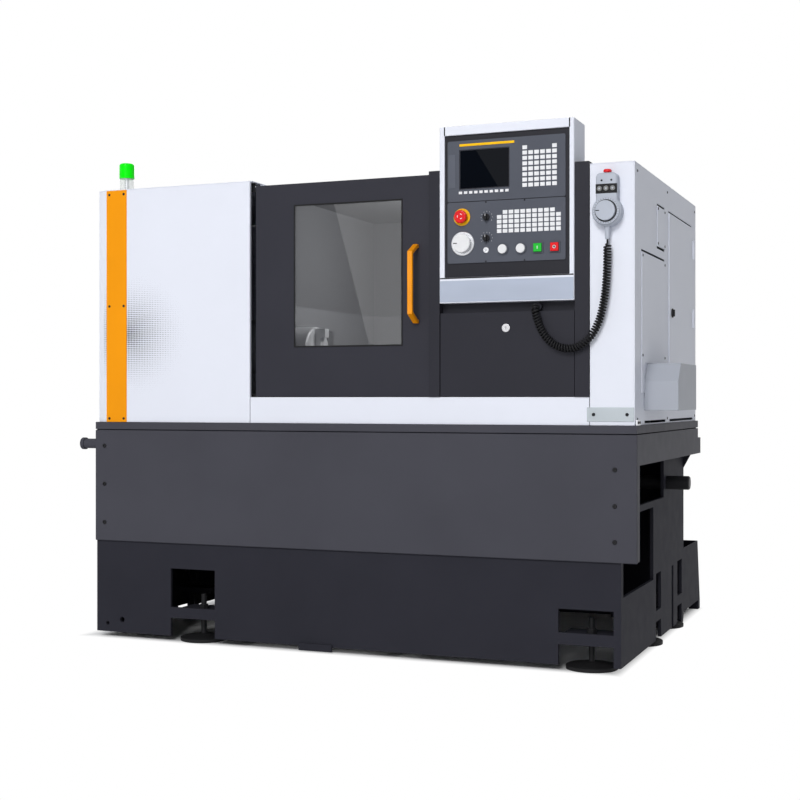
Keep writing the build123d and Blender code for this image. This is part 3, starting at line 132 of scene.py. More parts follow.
def clear():
    """Leaves edit mode and selects nothing."""
    if bpy.context.object and bpy.context.object.mode != "OBJECT":
        bpy.ops.object.mode_set(mode="OBJECT")
    bpy.ops.object.select_all(action="DESELECT")


def pick(*pieces):
    """Selects these pieces only and makes the first one active."""
    clear()
    for piece in pieces:
        piece.select_set(True)
    bpy.context.view_layer.objects.active = pieces[0]


def settle(piece):
    """Puts a piece's place, turn and scale into its mesh."""
    pick(piece)
    bpy.ops.object.transform_apply(location=True, rotation=True, scale=True)


def apply_modifier(piece, kind, **values):
    """Adds a modifier, sets it up and applies it."""
    pick(piece)
    modifier = piece.modifiers.new(kind.lower(), kind)
    for key, value in values.items():
        setattr(modifier, key, value)
    bpy.ops.object.modifier_apply(modifier=modifier.name)


def round_edges(piece, width, segments=2, angle=EDGE_ANGLE):
    """Rounds the edges that are sharper than an angle."""
    apply_modifier(piece, "BEVEL", width=width, segments=segments, limit_method="ANGLE",
                   angle_limit=math.radians(angle))


def tidy_mesh(piece):
    """Merges doubles and turns every face outwards."""
    pick(piece)
    bpy.ops.object.mode_set(mode="EDIT")
    bpy.ops.mesh.select_all(action="SELECT")
    bpy.ops.mesh.remove_doubles(threshold=MERGE_DISTANCE)
    bpy.ops.mesh.normals_make_consistent(inside=False)
    bpy.ops.object.mode_set(mode="OBJECT")


def complete(piece, name, finish, body="machine", nodes=(), angle=SMOOTH_ANGLE):
    """Names a finished piece, paints it and hangs it on its body."""
    settle(piece)
    piece.name = name
    piece.data.name = name
    bpy.ops.object.shade_smooth_by_angle(angle=math.radians(angle))
    apply_modifier(piece, "WEIGHTED_NORMAL", keep_sharp=True)
    piece.data.materials.clear()
    piece.data.materials.append(FINISH[finish])
    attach(piece, body)
    if nodes:
        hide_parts(*nodes)
    return piece


def join(pieces):
    """Makes one piece of several, under the first one's name."""
    pick(*pieces)
    if len(pieces) > 1:
        bpy.ops.object.join()
    return pieces[0]


def copies(piece, places, turns=None):
    """One piece made of copies of a modelled one, each with its own mesh."""
    made = []
    for number, place in enumerate(places):
        twin = piece.copy()
        twin.data = piece.data.copy()
        bpy.context.scene.collection.objects.link(twin)
        twin.matrix_world = Matrix.Translation(place) @ (turns[number] if turns else Matrix.Identity(4))
        made.append(twin)
    bpy.data.objects.remove(piece)
    return join(made)


# Shapes made by hand from primitives


def rounded_block(low, high, edge, segments=2):
    """A block between two corners with rounded edges."""
    clear()
    bpy.ops.mesh.primitive_cube_add(size=1, location=(low + high) / 2)
    piece = bpy.context.object
    piece.scale = high - low
    settle(piece)
    round_edges(piece, edge, segments)
    return piece


def turned(rings, vertices):
    """A turned piece along Z: a disc extruded and resized from ring to ring (radius, height)."""
    clear()
    radius, height = rings[0]
    bpy.ops.mesh.primitive_circle_add(vertices=vertices, radius=radius, fill_type="NGON",
                                      location=(0, 0, height))
    piece = bpy.context.object
    settle(piece)
    bpy.ops.object.mode_set(mode="EDIT")
    bpy.ops.mesh.select_all(action="SELECT")
    for next_radius, next_height in rings[1:]:
        bpy.ops.mesh.extrude_region_move(TRANSFORM_OT_translate={"value": (0, 0, next_height - height)})
        if next_radius != radius:
            share = next_radius / radius
            bpy.ops.transform.resize(value=(share, share, 1), center_override=(0, 0, next_height))
        radius, height = next_radius, next_height
    bpy.ops.object.mode_set(mode="OBJECT")
    tidy_mesh(piece)
    return piece


def aim(piece, place, turn=(0.0, 0.0, 0.0)):
    """Turns a piece and puts it in place."""
    piece.rotation_euler = turn
    piece.location = place
    settle(piece)
    return piece


FACING_FRONT = (math.pi / 2, 0.0, 0.0)
FACING_REAR = (-math.pi / 2, 0.0, 0.0)
FACING_RIGHT = (0.0, math.pi / 2, 0.0)
FACING_LEFT = (0.0, -math.pi / 2, 0.0)
FACING_UP = (0.0, 0.0, 0.0)
# Turned profiles: radius and height of each ring, in metres
WHEEL_BEZEL = [(0.0395, 0), (0.0395, 0.0032), (0.0375, 0.0046), (0.0325, 0.0046), (0.0318, 0.0036)]
KEY_SWITCH = [(0.010, 0), (0.010, 0.002), (0.0088, 0.0034), (0.0052, 0.0034), (0.0048, 0.0022)]
BUTTON_RING = [(0.0052, 0), (0.0052, 0.0004), (0.0034, 0.0004), (0.0034, -0.0001)]
PENDANT_KNOB = [(0.0078, 0), (0.0078, 0.0060), (0.0066, 0.0074), (0.0030, 0.0074), (0.0026, 0.0066)]
PENDANT_LIGHT = [(0.0032, 0), (0.0032, 0.0010), (0.0022, 0.0018)]
# The dial ring is painted shadow: a black annulus around the dial's cap
DIAL_SHADOW_RING = [(0.0352, 0), (0.0352, 0.0005), (0.0312, 0.0005), (0.0312, -0.0002)]
LAMP_POLE = [(0.0085, 0), (0.0085, 0.051)]


def window_frame(low, high, width, depth, edge):
    """A flat rectangular frame in the XZ plane, standing forward by its depth."""
    clear()
    middle = (low + high) / 2
    bpy.ops.mesh.primitive_plane_add(size=1, location=(middle.x, low.y, middle.z),
                                     rotation=FACING_FRONT)
    piece = bpy.context.object
    piece.scale = (high.x - low.x, high.z - low.z, 1)
    settle(piece)
    bpy.ops.object.mode_set(mode="EDIT")
    bpy.ops.mesh.select_all(action="SELECT")
    bpy.ops.mesh.inset(thickness=width, depth=0)
    bpy.ops.mesh.delete(type="FACE")
    bpy.ops.mesh.select_all(action="SELECT")
    bpy.ops.mesh.extrude_region_move(TRANSFORM_OT_translate={"value": (0, -depth, 0)})
    bpy.ops.object.mode_set(mode="OBJECT")
    tidy_mesh(piece)
    round_edges(piece, edge)
    return piece


# Materials


def new_material(name):
    """A new material with its node tree and its shader."""
    material = bpy.data.materials.new(name)
    material.use_nodes = True
    tree = material.node_tree
    return material, tree, tree.nodes["Principled BSDF"]


def node(tree, kind, **values):
    """A new node, with values for its sockets or its settings."""
    made = tree.nodes.new(kind)
    for key, value in values.items():
        if key in made.inputs:
            made.inputs[key].default_value = value
        else:
            setattr(made, key, value)
    return made


def object_noise(tree, scale, detail=2.0, stretch=(1.0, 1.0, 1.0)):
    """Noise over the piece's own coordinates."""
    place = node(tree, "ShaderNodeTexCoord")
    mapping = node(tree, "ShaderNodeMapping")
    mapping.inputs["Scale"].default_value = stretch
    noise = node(tree, "ShaderNodeTexNoise", Scale=scale, Detail=detail)
    tree.links.new(place.outputs["Object"], mapping.inputs["Vector"])
    tree.links.new(mapping.outputs["Vector"], noise.inputs["Vector"])
    return noise


def ramp(tree, source, low, high, start=0.3, end=0.7):
    """A two-colour ramp over a factor."""
    made = node(tree, "ShaderNodeValToRGB")
    made.color_ramp.elements[0].position = start
    made.color_ramp.elements[0].color = (*low, 1)
    made.color_ramp.elements[1].position = end
    made.color_ramp.elements[1].color = (*high, 1)
    tree.links.new(source, made.inputs["Fac"])
    return made


def spread(tree, source, low, high):
    """A factor spread between two values."""
    made = node(tree, "ShaderNodeMapRange")
    made.inputs["To Min"].default_value = low
    made.inputs["To Max"].default_value = high
    tree.links.new(source, made.inputs["Value"])
    return made.outputs["Result"]


def shade(tint, share):
    """A lighter or darker tint."""
    return tuple(min(1.0, part * share) for part in tint)


SMEARS_PER_CLOUD = 6


def surface(name, tint, roughness, mottle, mottle_scale, grain, bump, depth=0.0004, metallic=0.0,
            coat=0.0, stretch=(1.0, 1.0, 1.0), specular=0.12):
    """A finish with cloudy colour, uneven gloss and a fine relief."""
    material, tree, shader = new_material(name)
    clouds = object_noise(tree, mottle_scale, detail=4.0, stretch=stretch)
    tints = ramp(tree, clouds.outputs["Fac"], shade(tint, mottle[0]), shade(tint, mottle[1]))
    tree.links.new(tints.outputs["Color"], shader.inputs["Base Color"])
    smears = object_noise(tree, mottle_scale * SMEARS_PER_CLOUD, detail=3.0, stretch=stretch)
    tree.links.new(spread(tree, smears.outputs["Fac"], *roughness), shader.inputs["Roughness"])
    relief = object_noise(tree, grain, detail=2.0, stretch=stretch)
    bumps = node(tree, "ShaderNodeBump", Strength=bump, Distance=depth)
    tree.links.new(relief.outputs["Fac"], bumps.inputs["Height"])
    tree.links.new(bumps.outputs["Normal"], shader.inputs["Normal"])
    shader.inputs["Metallic"].default_value = metallic
    shader.inputs["Coat Weight"].default_value = coat
    shader.inputs["Specular IOR Level"].default_value = specular
    return material


def calculate(tree, operation, *values):
    """A sum over sockets and numbers."""
    made = node(tree, "ShaderNodeMath", operation=operation)
    for number, value in enumerate(values):
        if isinstance(value, bpy.types.NodeSocket):
            tree.links.new(value, made.inputs[number])
        else:
            made.inputs[number].default_value = value
    return made.outputs["Value"]


# Dot print: pitch and reach in metres, centre and depth in millimetres
DOT_PITCH = 0.0068
DOT_CENTRE = (132, 1105)
DOT_REACH = (0.265, 0.235)
DOT_DEPTH = 12
DOT_SHARE = 0.46
DOT_TINT = (0.10, 0.10, 0.11, 1)
# Sockets of a colour mix: factor, under, over and result
MIX_FACTOR, MIX_UNDER, MIX_OVER, MIX_RESULT = 0, 6, 7, 2


def squared(tree, value):
    """The square of a value of either sign."""
    return calculate(tree, "POWER", calculate(tree, "ABSOLUTE", value), 2.0)


def with_dots(material):
    """Prints a plain dot screen that thins out away from its centre."""
    tree = material.node_tree
    shader = tree.nodes["Principled BSDF"]
    paint = shader.inputs["Base Color"].links[0].from_socket
    place = node(tree, "ShaderNodeTexCoord")
    parts = node(tree, "ShaderNodeSeparateXYZ")
    tree.links.new(place.outputs["Object"], parts.inputs["Vector"])
    centre = spot(DOT_CENTRE[0], 0, DOT_CENTRE[1])
    cells = []
    shares = []
    for axis, middle, reach in ((0, centre.x, DOT_REACH[0]), (2, centre.z, DOT_REACH[1])):
        offset = calculate(tree, "SUBTRACT", parts.outputs[axis], middle)
        cell = calculate(tree, "FLOORED_MODULO", calculate(tree, "DIVIDE", offset, DOT_PITCH), 1.0)
        cells.append(squared(tree, calculate(tree, "SUBTRACT", cell, 0.5)))
        shares.append(squared(tree, calculate(tree, "DIVIDE", offset, reach)))
    distance = calculate(tree, "SQRT", calculate(tree, "ADD", *cells))
    thinning = calculate(tree, "SUBTRACT", 1.0, calculate(tree, "SQRT", calculate(tree, "ADD", *shares)))
    dots = calculate(tree, "LESS_THAN", distance, calculate(tree, "MULTIPLY", thinning, DOT_SHARE))
    ahead = calculate(tree, "LESS_THAN", parts.outputs[1], spot(0, DOT_DEPTH, 0).y)
    mix = node(tree, "ShaderNodeMix", data_type="RGBA")
    tree.links.new(calculate(tree, "MULTIPLY", dots, ahead), mix.inputs[MIX_FACTOR])
    tree.links.new(paint, mix.inputs[MIX_UNDER])
    mix.inputs[MIX_OVER].default_value = DOT_TINT
    tree.links.new(mix.outputs[MIX_RESULT], shader.inputs["Base Color"])
    return material


def clear_glass(name, tint, alpha, roughness=0.04):
    """Tinted glass under a thin veil of dust."""
    material, tree, shader = new_material(name)
    dust = object_noise(tree, 14.0, detail=3.0)
    gloss = spread(tree, dust.outputs["Fac"], roughness * 0.6, roughness * 1.6)
    tree.links.new(gloss, shader.inputs["Roughness"])
    veil = ramp(tree, dust.outputs["Fac"], shade(tint, 0.97), shade(tint, 1.04))
    tree.links.new(veil.outputs["Color"], shader.inputs["Base Color"])
    shader.inputs["Alpha"].default_value = alpha
    return material


# Surfaces used more than once: roughness, mottle, mottle scale, grain, bump
LIGHT_POWDER = ((0.34, 0.44), (0.985, 1.01), 2.5, 1100, 0.06)
DARK_POWDER = ((0.42, 0.54), (0.94, 1.05), 3.0, 1000, 0.10)
LINER_SHEET = ((0.45, 0.55), (0.98, 1.02), 2.0, 200, 0.004)
GLOSSY_CAP = ((0.18, 0.26), (0.95, 1.05), 20.0, 1500, 0.02)


def make_finishes():
    """Every finish of the machine, by name, with the columns in the order of surface()."""
    tone = colours()
    return {
        "printed": with_dots(surface("printed_powder_coat", tone.white, *LIGHT_POWDER, specular=0.08)),
        "white": surface("white_powder_coat", tone.white, *LIGHT_POWDER, specular=0.08),
        "charcoal": surface("charcoal_powder_coat", tone.charcoal, *DARK_POWDER, specular=0.04),
        "hood": surface("hood_powder_coat", tone.hood, (0.34, 0.44), (0.96, 1.03), 3.0, 1100, 0.06),
        "band": surface("brushed_band", tone.band, (0.34, 0.46), (0.88, 1.06), 5.0, 900, 0.05,
                        stretch=(0.3, 1.0, 1.0)),
        "door": surface("door_powder_coat", tone.door, *DARK_POWDER),
        "post": surface("post_powder_coat", tone.post, *DARK_POWDER),
        "base": surface("base_paint", tone.base, (0.45, 0.58), (0.92, 1.06), 3.0, 900, 0.12,
                        specular=0.015),
        "liner": surface("liner_sheet", tone.liner, *LINER_SHEET),
        # Darker copies of the liner: painted shade for the upper work space and around the opening
        "liner_painted_shade": surface("liner_painted_shade_sheet", shade(tone.liner, 0.6), *LINER_SHEET),
        "liner_painted_deep_shade": surface("liner_painted_deep_shade_sheet", shade(tone.liner, 0.4), *LINER_SHEET),
        "orange": surface("orange_powder_coat", tone.orange, (0.36, 0.46), (0.97, 1.03), 3.0, 1000,
                          0.06),
        "amber": surface("amber_lacquer", tone.amber, (0.20, 0.28), (0.93, 1.05), 9.0, 500, 0.03,
                         coat=0.15),
        "fascia": surface("dark_fascia_paint", tone.fascia, (0.40, 0.50), (0.93, 1.06), 6.0, 1500,
                          0.08),
        "panel": surface("grey_panel_plastic", tone.panel, (0.42, 0.52), (0.96, 1.03), 8.0, 2500,
                         0.10, specular=0.02),
        "card": surface("card_cover_plastic", shade(tone.panel, 1.2), (0.4, 0.5), (0.96, 1.03), 8.0,
                        2500, 0.10, specular=0.02),
        "key": surface("white_key_film", (0.84, 0.84, 0.86), (0.35, 0.45), (0.97, 1.02), 30.0, 2500,
                       0.04),
        "screen": surface("black_screen_glass", (0.0015, 0.0025, 0.0050), (0.004, 0.010), (0.9, 1.1),
                          4.0, 400, 0.0005, specular=0.02),
        "window": clear_glass("smoked_window", (0.060, 0.061, 0.068), 0.45, 0.012),
        "plate": surface("blank_corner_plate", tone.plate, (0.28, 0.38), (0.96, 1.03), 10.0, 800, 0.05,
                         metallic=0.3),
        "steel": surface("ground_steel", (0.52, 0.52, 0.54), (0.22, 0.36), (0.88, 1.06), 18.0, 900,
                         0.08, metallic=1.0, stretch=(0.08, 1.0, 1.0)),
        "chuck": surface("polished_chuck", (0.66, 0.67, 0.69), (0.34, 0.44), (0.95, 1.03), 12.0, 900,
                         0.05, metallic=0.35),
        "zinc": surface("zinc_plate", (0.56, 0.57, 0.60), (0.28, 0.40), (0.85, 1.08), 30.0, 700, 0.06,
                        metallic=1.0),
        "cast": surface("painted_casting", (0.20, 0.21, 0.225), (0.45, 0.6), (0.9, 1.08), 7.0, 260,
                        0.25, depth=0.0008),
        "black": surface("black_oxide", (0.018, 0.018, 0.020), (0.35, 0.5), (0.85, 1.15), 12.0, 900,
                         0.08),
        "rubber": surface("black_rubber", (0.013, 0.013, 0.014), (0.5, 0.65), (0.85, 1.2), 20.0, 1600,
                          0.15),
        "cord": surface("cord_jacket", (0.012, 0.012, 0.013), (0.35, 0.48), (0.85, 1.2), 60.0, 1800,
                        0.08),
        "red": surface("red_plastic", (0.74, 0.003, 0.008), *GLOSSY_CAP, coat=0.4),
        "green": surface("green_plastic", (0.01, 0.48, 0.03), *GLOSSY_CAP, coat=0.4),
        "yellow": surface("yellow_plastic", (0.92, 0.48, 0.012), (0.3, 0.4), (0.96, 1.03), 20.0, 1500,
                          0.04),
        "stripe": surface("yellow_stripe", (0.95, 0.52, 0.006), (0.3, 0.4), (0.98, 1.02), 20.0, 1500,
                          0.02),
        "button_white": surface("white_plastic", (0.80, 0.80, 0.81), (0.25, 0.34), (0.97, 1.02), 20.0,
                                1500, 0.03),
        "knob_black": surface("black_knob", (0.014, 0.014, 0.016), (0.32, 0.45), (0.9, 1.1), 20.0,
                              1500, 0.08),
        "grey_knob": surface("grey_knob", (0.22, 0.22, 0.21), (0.35, 0.45), (0.95, 1.05), 20.0, 1500,
                             0.05),
        "pendant": surface("pendant_shell", tone.pendant, (0.38, 0.48), (0.97, 1.02), 15.0, 2200, 0.10),
        "pump": surface("blue_pump_paint", (0.018, 0.05, 0.14), (0.35, 0.48), (0.9, 1.08), 12.0, 700,
                        0.10),
        "lamp": surface("green_lamp_lens", tone.lamp, (0.12, 0.2), (0.95, 1.03), 10.0, 800, 0.02),
        "lamp_tube": clear_glass("clear_lamp_tube", (0.80, 0.85, 0.83), 0.30),
        # Near-black paint for the painted shade in seams and notches
        "painted_gap_shade": surface("shadow_gap", (0.008, 0.008, 0.009), (0.6, 0.7), (0.9, 1.1), 10.0, 800,
                            0.05),
    }


FINISH = {}


class LATHE_OT_finishes(bpy.types.Operator):
    """Mix the paints and plastics from the panel's colours"""
    bl_idname = "lathe.finishes"
    bl_label = "Finishes"

    def execute(self, context):
        FINISH.update(make_finishes())
        return {"FINISHED"}


# Sheet metal and castings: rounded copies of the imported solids

SKINS = {
    "printed": ["headstock_cover"],
    "white": ["cabinet_shell", "right_front_panel", "right_side_panel", "access_panels",
              "electrical_door", "sill_panel", "console_housing"],
    "hood": ["side_hood"],
    "charcoal": ["drip_tray", "front_apron", "drain_pipe"],
    "door": ["door_panel"],
    "post": ["console_frame", "storage_door"],
    "base": ["base_frame", "window_blanks", "coolant_tank"],
    "orange": ["trim_strip"],
    "amber": ["door_handle"],
    "fascia": ["console_fascia"],
    "panel": ["display_bezel", "operator_plate"],
    "screen": ["display_glass"],
    "window": ["door_window"],
    "plate": ["corner_plate"],
    "steel": ["storage_lock", "spindle", "z_rails", "z_screw", "turret_disc"],
    "chuck": ["chuck"],
    "cast": ["headstock", "bed", "saddle", "turret_slide"],
    "black": ["door_rails", "electrical_latch", "lifting_bar", "z_motor", "level_fasteners"],
    "rubber": ["level_pads"],
    "yellow": ["e_stop_ring"],
    "red": ["e_stop_button", "button_red", "pendant_stop"],
    "green": ["button_green"],
    "button_white": ["button_white_left", "button_white_right", "handwheel"],
    "knob_black": ["selector_upper", "selector_lower"],
    "pendant": ["pendant_body", "pendant_dial"],
    "pump": ["coolant_pump"],
    "lamp": ["lamp_lens"],
    "lamp_tube": ["lamp_base"],
}
# Edge rounding, in metres, where it is not the sheet edge
EDGES = {"door_handle": 0.0035, "base_frame": 0.002, "chuck": 0.0015, "headstock": 0.006, "bed": 0.004,
         "saddle": 0.003, "turret_slide": 0.004, "turret_disc": 0.002, "coolant_pump": 0.002,
         "display_glass": 0.0004, "display_bezel": 0.0008, "operator_plate": 0.0008,
         "pendant_stop": 0.0002, "console_housing": 0.002, "drip_tray": 0.002}
# Angle, in degrees, above which a fold stays sharp, where it is not the usual one
CREASES = {"side_hood": 18, "corner_plate": 18, "coolant_tank": 18}


def skin(name, finish, edge):
    """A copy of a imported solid, merged and given rounded edges."""
    piece = bpy.data.objects.new(name + "_skin", frame["nodes"][name].data.copy())
    bpy.context.scene.collection.objects.link(piece)
    pick(piece)
    bpy.ops.mesh.customdata_custom_splitnormals_clear()
    bpy.ops.object.mode_set(mode="EDIT")
    bpy.ops.mesh.select_all(action="SELECT")
    bpy.ops.mesh.remove_doubles(threshold=MERGE_DISTANCE)
    bpy.ops.mesh.dissolve_limited(angle_limit=math.radians(FLAT_ANGLE))
    bpy.ops.object.mode_set(mode="OBJECT")
    round_edges(piece, edge, angle=SKIN_EDGE_ANGLE)
    return complete(piece, name + "_skin", finish, BODY_OF[name], [name],
                    CREASES.get(name, SMOOTH_ANGLE))


class LATHE_OT_skins(bpy.types.Operator):
    """Round the edges of the sheet metal, castings and controls and paint them"""
    bl_idname = "lathe.skins"
    bl_label = "Sheet metal and castings"

    def execute(self, context):
        for finish, names in SKINS.items():
            for name in names:
                skin(name, finish, EDGES.get(name, sizes().edge))
        return {"FINISHED"}


# Curly cord of the pendant

CORD_ROUTE = [(1910, -14, 1371), (1910, -14, 1318), (1908, -14, 1262), (1904, -14, 1212),
              (1897, -14, 1166), (1885, -14, 1118), (1860, -14, 1068), (1822, -14, 1036),
              (1781, -14, 1027), (1736, -14, 1041), (1702, -14, 1077), (1682, -14, 1120),
              (1671, -14, 1168.5), (1671, 24, 1168.5)]
COIL_STEPS = 14
COIL_LEAD = 0.012


def curve_object(name, points, kind):
    """A curve of one open spline through or near the points."""
    data = bpy.data.curves.new(name, "CURVE")
    data.dimensions = "3D"
    spline = data.splines.new(kind)
    spline.points.add(len(points) - 1)
    for point, place in zip(spline.points, points):
        point.co = (*place, 1)
    if kind == "NURBS":
        spline.order_u = 3
        spline.use_endpoint_u = True
        spline.resolution_u = 12
    piece = bpy.data.objects.new(name, data)
    bpy.context.scene.collection.objects.link(piece)
    return piece


def route_line():
    """Points read from the cord route's smooth spline."""
    guide = curve_object("cord_guide", [spot(*place) for place in CORD_ROUTE], "NURBS")
    bpy.context.view_layer.update()
    mesh = bpy.data.meshes.new_from_object(guide)
    points = [vertex.co.copy() for vertex in mesh.vertices]
    bpy.data.objects.remove(guide)
    bpy.data.meshes.remove(mesh)
    return points


def coil_points(line):
    """A helix around the route, with short straight leads at both ends."""
    radius = sizes().coil_radius
    lengths = [0.0]
    for before, after in zip(line, line[1:]):
        lengths.append(lengths[-1] + (after - before).length)
    total = lengths[-1]
    turns = round((total - 2 * COIL_LEAD) / sizes().coil_pitch)
    count = turns * COIL_STEPS
    side = Vector((1, 0, 0))
    made = []
    segment = 0
    for number in range(count + 1):
        share = number / count
        along = COIL_LEAD + share * (total - 2 * COIL_LEAD)
        while segment < len(line) - 2 and lengths[segment + 1] < along:
            segment += 1
        run = line[segment + 1] - line[segment]
        centre = line[segment] + run * ((along - lengths[segment]) / run.length)
        ahead = run.normalized()
        side = (side - ahead * side.dot(ahead)).normalized()
        other = ahead.cross(side)
        reach = radius * max(0.0, min(1.0, number / COIL_STEPS, (count - number) / COIL_STEPS))
        angle = 2 * math.pi * number / COIL_STEPS
        made.append(centre + side * (reach * math.cos(angle)) + other * (reach * math.sin(angle)))
    return [line[0]] + made + [line[-1]]


class LATHE_OT_cord(bpy.types.Operator):
    """Wind the pendant's curly cord along its route"""
    bl_idname = "lathe.cord"
    bl_label = "Pendant cord"

    def execute(self, context):
        points = coil_points(route_line())
        cord = curve_object("pendant_cord_coil", points, "POLY")
        cord.data.bevel_depth = sizes().cord_diameter / 2
        cord.data.bevel_resolution = 3
        cord.data.use_fill_caps = True
        cord.data.materials.append(FINISH["cord"])
        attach(cord, "machine")
        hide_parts("pendant_cord")
        return {"FINISHED"}


# Screws

# Heads: radius and height in metres
APRON_HEAD = (0.0075, 0.0042)
PLATE_HEAD = (0.0055, 0.0034)
TRIM_HEAD = (0.0046, 0.0018)
END_HEAD = (0.0044, 0.0016)
SHEET_HEAD = (0.006, 0.0026)
CLIP_HEAD = (0.0045, 0.0022)
# The roof is this much lower beside the headstock cover, in millimetres
ROOF_STEP = 17


def screw_head(radius, height):
    """A low round head with a driving recess, standing along Z."""
    return turned([(radius, 0), (radius, 0.62 * height), (0.84 * radius, height),
                   (0.48 * radius, height), (0.42 * radius, 0.4 * height)], 20)


def screws(name, places, head, finish, turn=FACING_FRONT, nodes=()):
    """Screws of one kind, all facing the same way."""
    one = aim(screw_head(*head), (0, 0, 0), turn)
    return complete(copies(one, places), name, finish, nodes=nodes)


class LATHE_OT_screws(bpy.types.Operator):
    """Put the screws on the apron, corner plate, trim strip, both ends, rear and roof"""
    bl_idname = "lathe.screws"
    bl_label = "Screws"

    def execute(self, context):
        apron = [spot(39, 0, z) for z in (699, 560, 420)] + [spot(1930, 0, z) for z in (647, 532, 419)]
        screws("apron_screws", apron, APRON_HEAD, "black", nodes=["cover_screws"])
        corner = [spot(x, 5, 820.5) for x in (1861, 1968)]
        screws("corner_plate_screws", corner, PLATE_HEAD, "black")
        trim = [spot(x, 6, z) for x in (56, 117) for z in (1615, 1208, 799)]
        screws("trim_screws", trim, TRIM_HEAD, "black")
        right = [spot(1995, y, z) for y in (113, 477) for z in (1330, 1010)]
        right += [spot(1995, y, z) for y in (362, 476) for z in (1511, 1394)]
        right += [spot(1992, y, z) for y in (46, 1080) for z in (806, 1590)]
        right += [spot(1992, 534, z) for z in (803, 1590)]
        screws("right_end_screws", right, END_HEAD, "black", FACING_RIGHT)
        back = (CABINET_HIGH.y - TRAY_CORNER.y) / MM
        rear = [spot(x, back, z) for x in (40, 615, 672, 1300, 1960) for z in (806, 1200, 1590)]
        screws("rear_screws", rear, SHEET_HEAD, "zinc", FACING_REAR)
        top = CABINET_HIGH.z / MM
        roof = [spot(x, y, top) for x in (40, 615) for y in (230, 640, 1060)]
        roof += [spot(x, y, top - ROOF_STEP) for x in (672, 1300, 1960) for y in (200, 640, 1060)]
        screws("roof_screws", roof, SHEET_HEAD, "zinc", FACING_UP)
        side = (CABINET_LOW.x - TRAY_CORNER.x) / MM
        left = [spot(side, y, z) for y in (60, 560, 1060) for z in (806, 1200, 1590)]
        screws("left_end_screws", left, SHEET_HEAD, "zinc", FACING_LEFT)
        return {"FINISHED"}


# Display unit and operator panel, in millimetres

PANEL_LEFT = 1370
PANEL_FRONT = 4.0
DISPLAY_TOP = 1717
OPERATOR_TOP = 1515
# Key grids: middle across and down, columns and rows, pitch across and down
SOFT_KEYS = ((125.5, 171), (10, 1), (17.7, 0))
ENTRY_KEYS = ((314.5, 105.2), (6, 7), (19.8, 17.4))
ENTRY_ENDS = ((314.5, 36), (2, 1), (99, 0))
WORK_KEYS = ((278, 69.6), (9, 5), (19.8, 15.3))
WORK_ENDS = ((278, 77.25), (2, 4), (198, 15.3))
# Key caps: width and height
SOFT_CAP = (11.5, 8.4)
ENTRY_CAP = (15.4, 12.4)
WORK_CAP = (15.4, 12.2)
CAP_TALL = 2.2
# Rounding, rim and dish of a cap, in metres
CAP_EDGE, CAP_RIM, CAP_DISH = 0.0005, 0.0012, 0.0003


def on_display(place, y=PANEL_FRONT):
    """A place on the display unit, across and down from its top left corner."""
    return spot(PANEL_LEFT + place[0], y, DISPLAY_TOP - place[1])


def on_operator(place, y=PANEL_FRONT):
    """A place on the operator panel, across and down from its top left corner."""
    return spot(PANEL_LEFT + place[0], y, OPERATOR_TOP - place[1])


def plate_on(at, low, high, thick, edge):
    """A thin rounded plate on a panel, between two corners given across and down."""
    a = at((low[0], high[1]), PANEL_FRONT - thick)
    b = at((high[0], low[1]), PANEL_FRONT)
    return rounded_block(a, b, edge)


def key_grid(at, middle, count, pitch):
    """Places of a grid of keys on a panel, column by column."""
    across, down = [[centre + (n - (number - 1) / 2) * step for n in range(number)]
                    for centre, number, step in zip(middle, count, pitch)]
    return [at((x, y)) for x in across for y in down]


def key_cap(width, height):
    """A key with a rounded edge and a shallow dish, facing forward."""
    half = Vector((width / 2, 0, height / 2)) * MM
    low = Vector((-half.x, -CAP_TALL * MM, -half.z))
    piece = rounded_block(low, half, CAP_EDGE)
    bpy.ops.object.mode_set(mode="EDIT")
    bpy.ops.mesh.select_mode(type="FACE")
    bpy.ops.mesh.select_all(action="DESELECT")
    bpy.ops.object.mode_set(mode="OBJECT")
    front = min(piece.data.polygons, key=lambda face: (round(face.normal.y, 3), -face.area))
    front.select = True
    bpy.ops.object.mode_set(mode="EDIT")
    bpy.ops.mesh.inset(thickness=CAP_RIM, depth=-CAP_DISH)
    bpy.ops.object.mode_set(mode="OBJECT")
    return piece


class LATHE_OT_panel_keys(bpy.types.Operator):
    """Set the keys on the display unit and the operator panel"""
    bl_idname = "lathe.panel_keys"
    bl_label = "Panel keys"

    def execute(self, context):
        soft = key_grid(on_display, *SOFT_KEYS)
        entry = key_grid(on_display, *ENTRY_KEYS) + key_grid(on_display, *ENTRY_ENDS)
        work = key_grid(on_operator, *WORK_KEYS) + key_grid(on_operator, *WORK_ENDS)
        caps = [copies(key_cap(*size), places)
                for size, places in ((SOFT_CAP, soft), (ENTRY_CAP, entry), (WORK_CAP, work))]
        complete(join(caps), "key_caps", "key", nodes=["panel_keys"])
        sheets = [plate_on(at, low, high, thick=0.5, edge=0.0002)
                  for at, low, high in ((on_display, (37.5, 163), (213.5, 179)),
                                        (on_display, (252.5, 23), (376.5, 173)),
                                        (on_operator, (167, 28), (389, 111)))]
        complete(join(sheets), "key_sheets", "panel")
        return {"FINISHED"}


def tick_ring(place, radius, length, width, thick, angles):
    """Short marks around a control, each pointing outwards."""
    low = Vector((-width / 2, -thick, -length / 2)) * MM
    high = Vector((width / 2, 0, length / 2)) * MM
    one = rounded_block(low, high, TICK_EDGE, 1)
    turns = [Matrix.Rotation(math.radians(angle), 4, "Y") for angle in angles]
    places = [place + turn @ Vector((0, 0, radius * MM)) for turn in turns]
    return copies(one, places, turns)


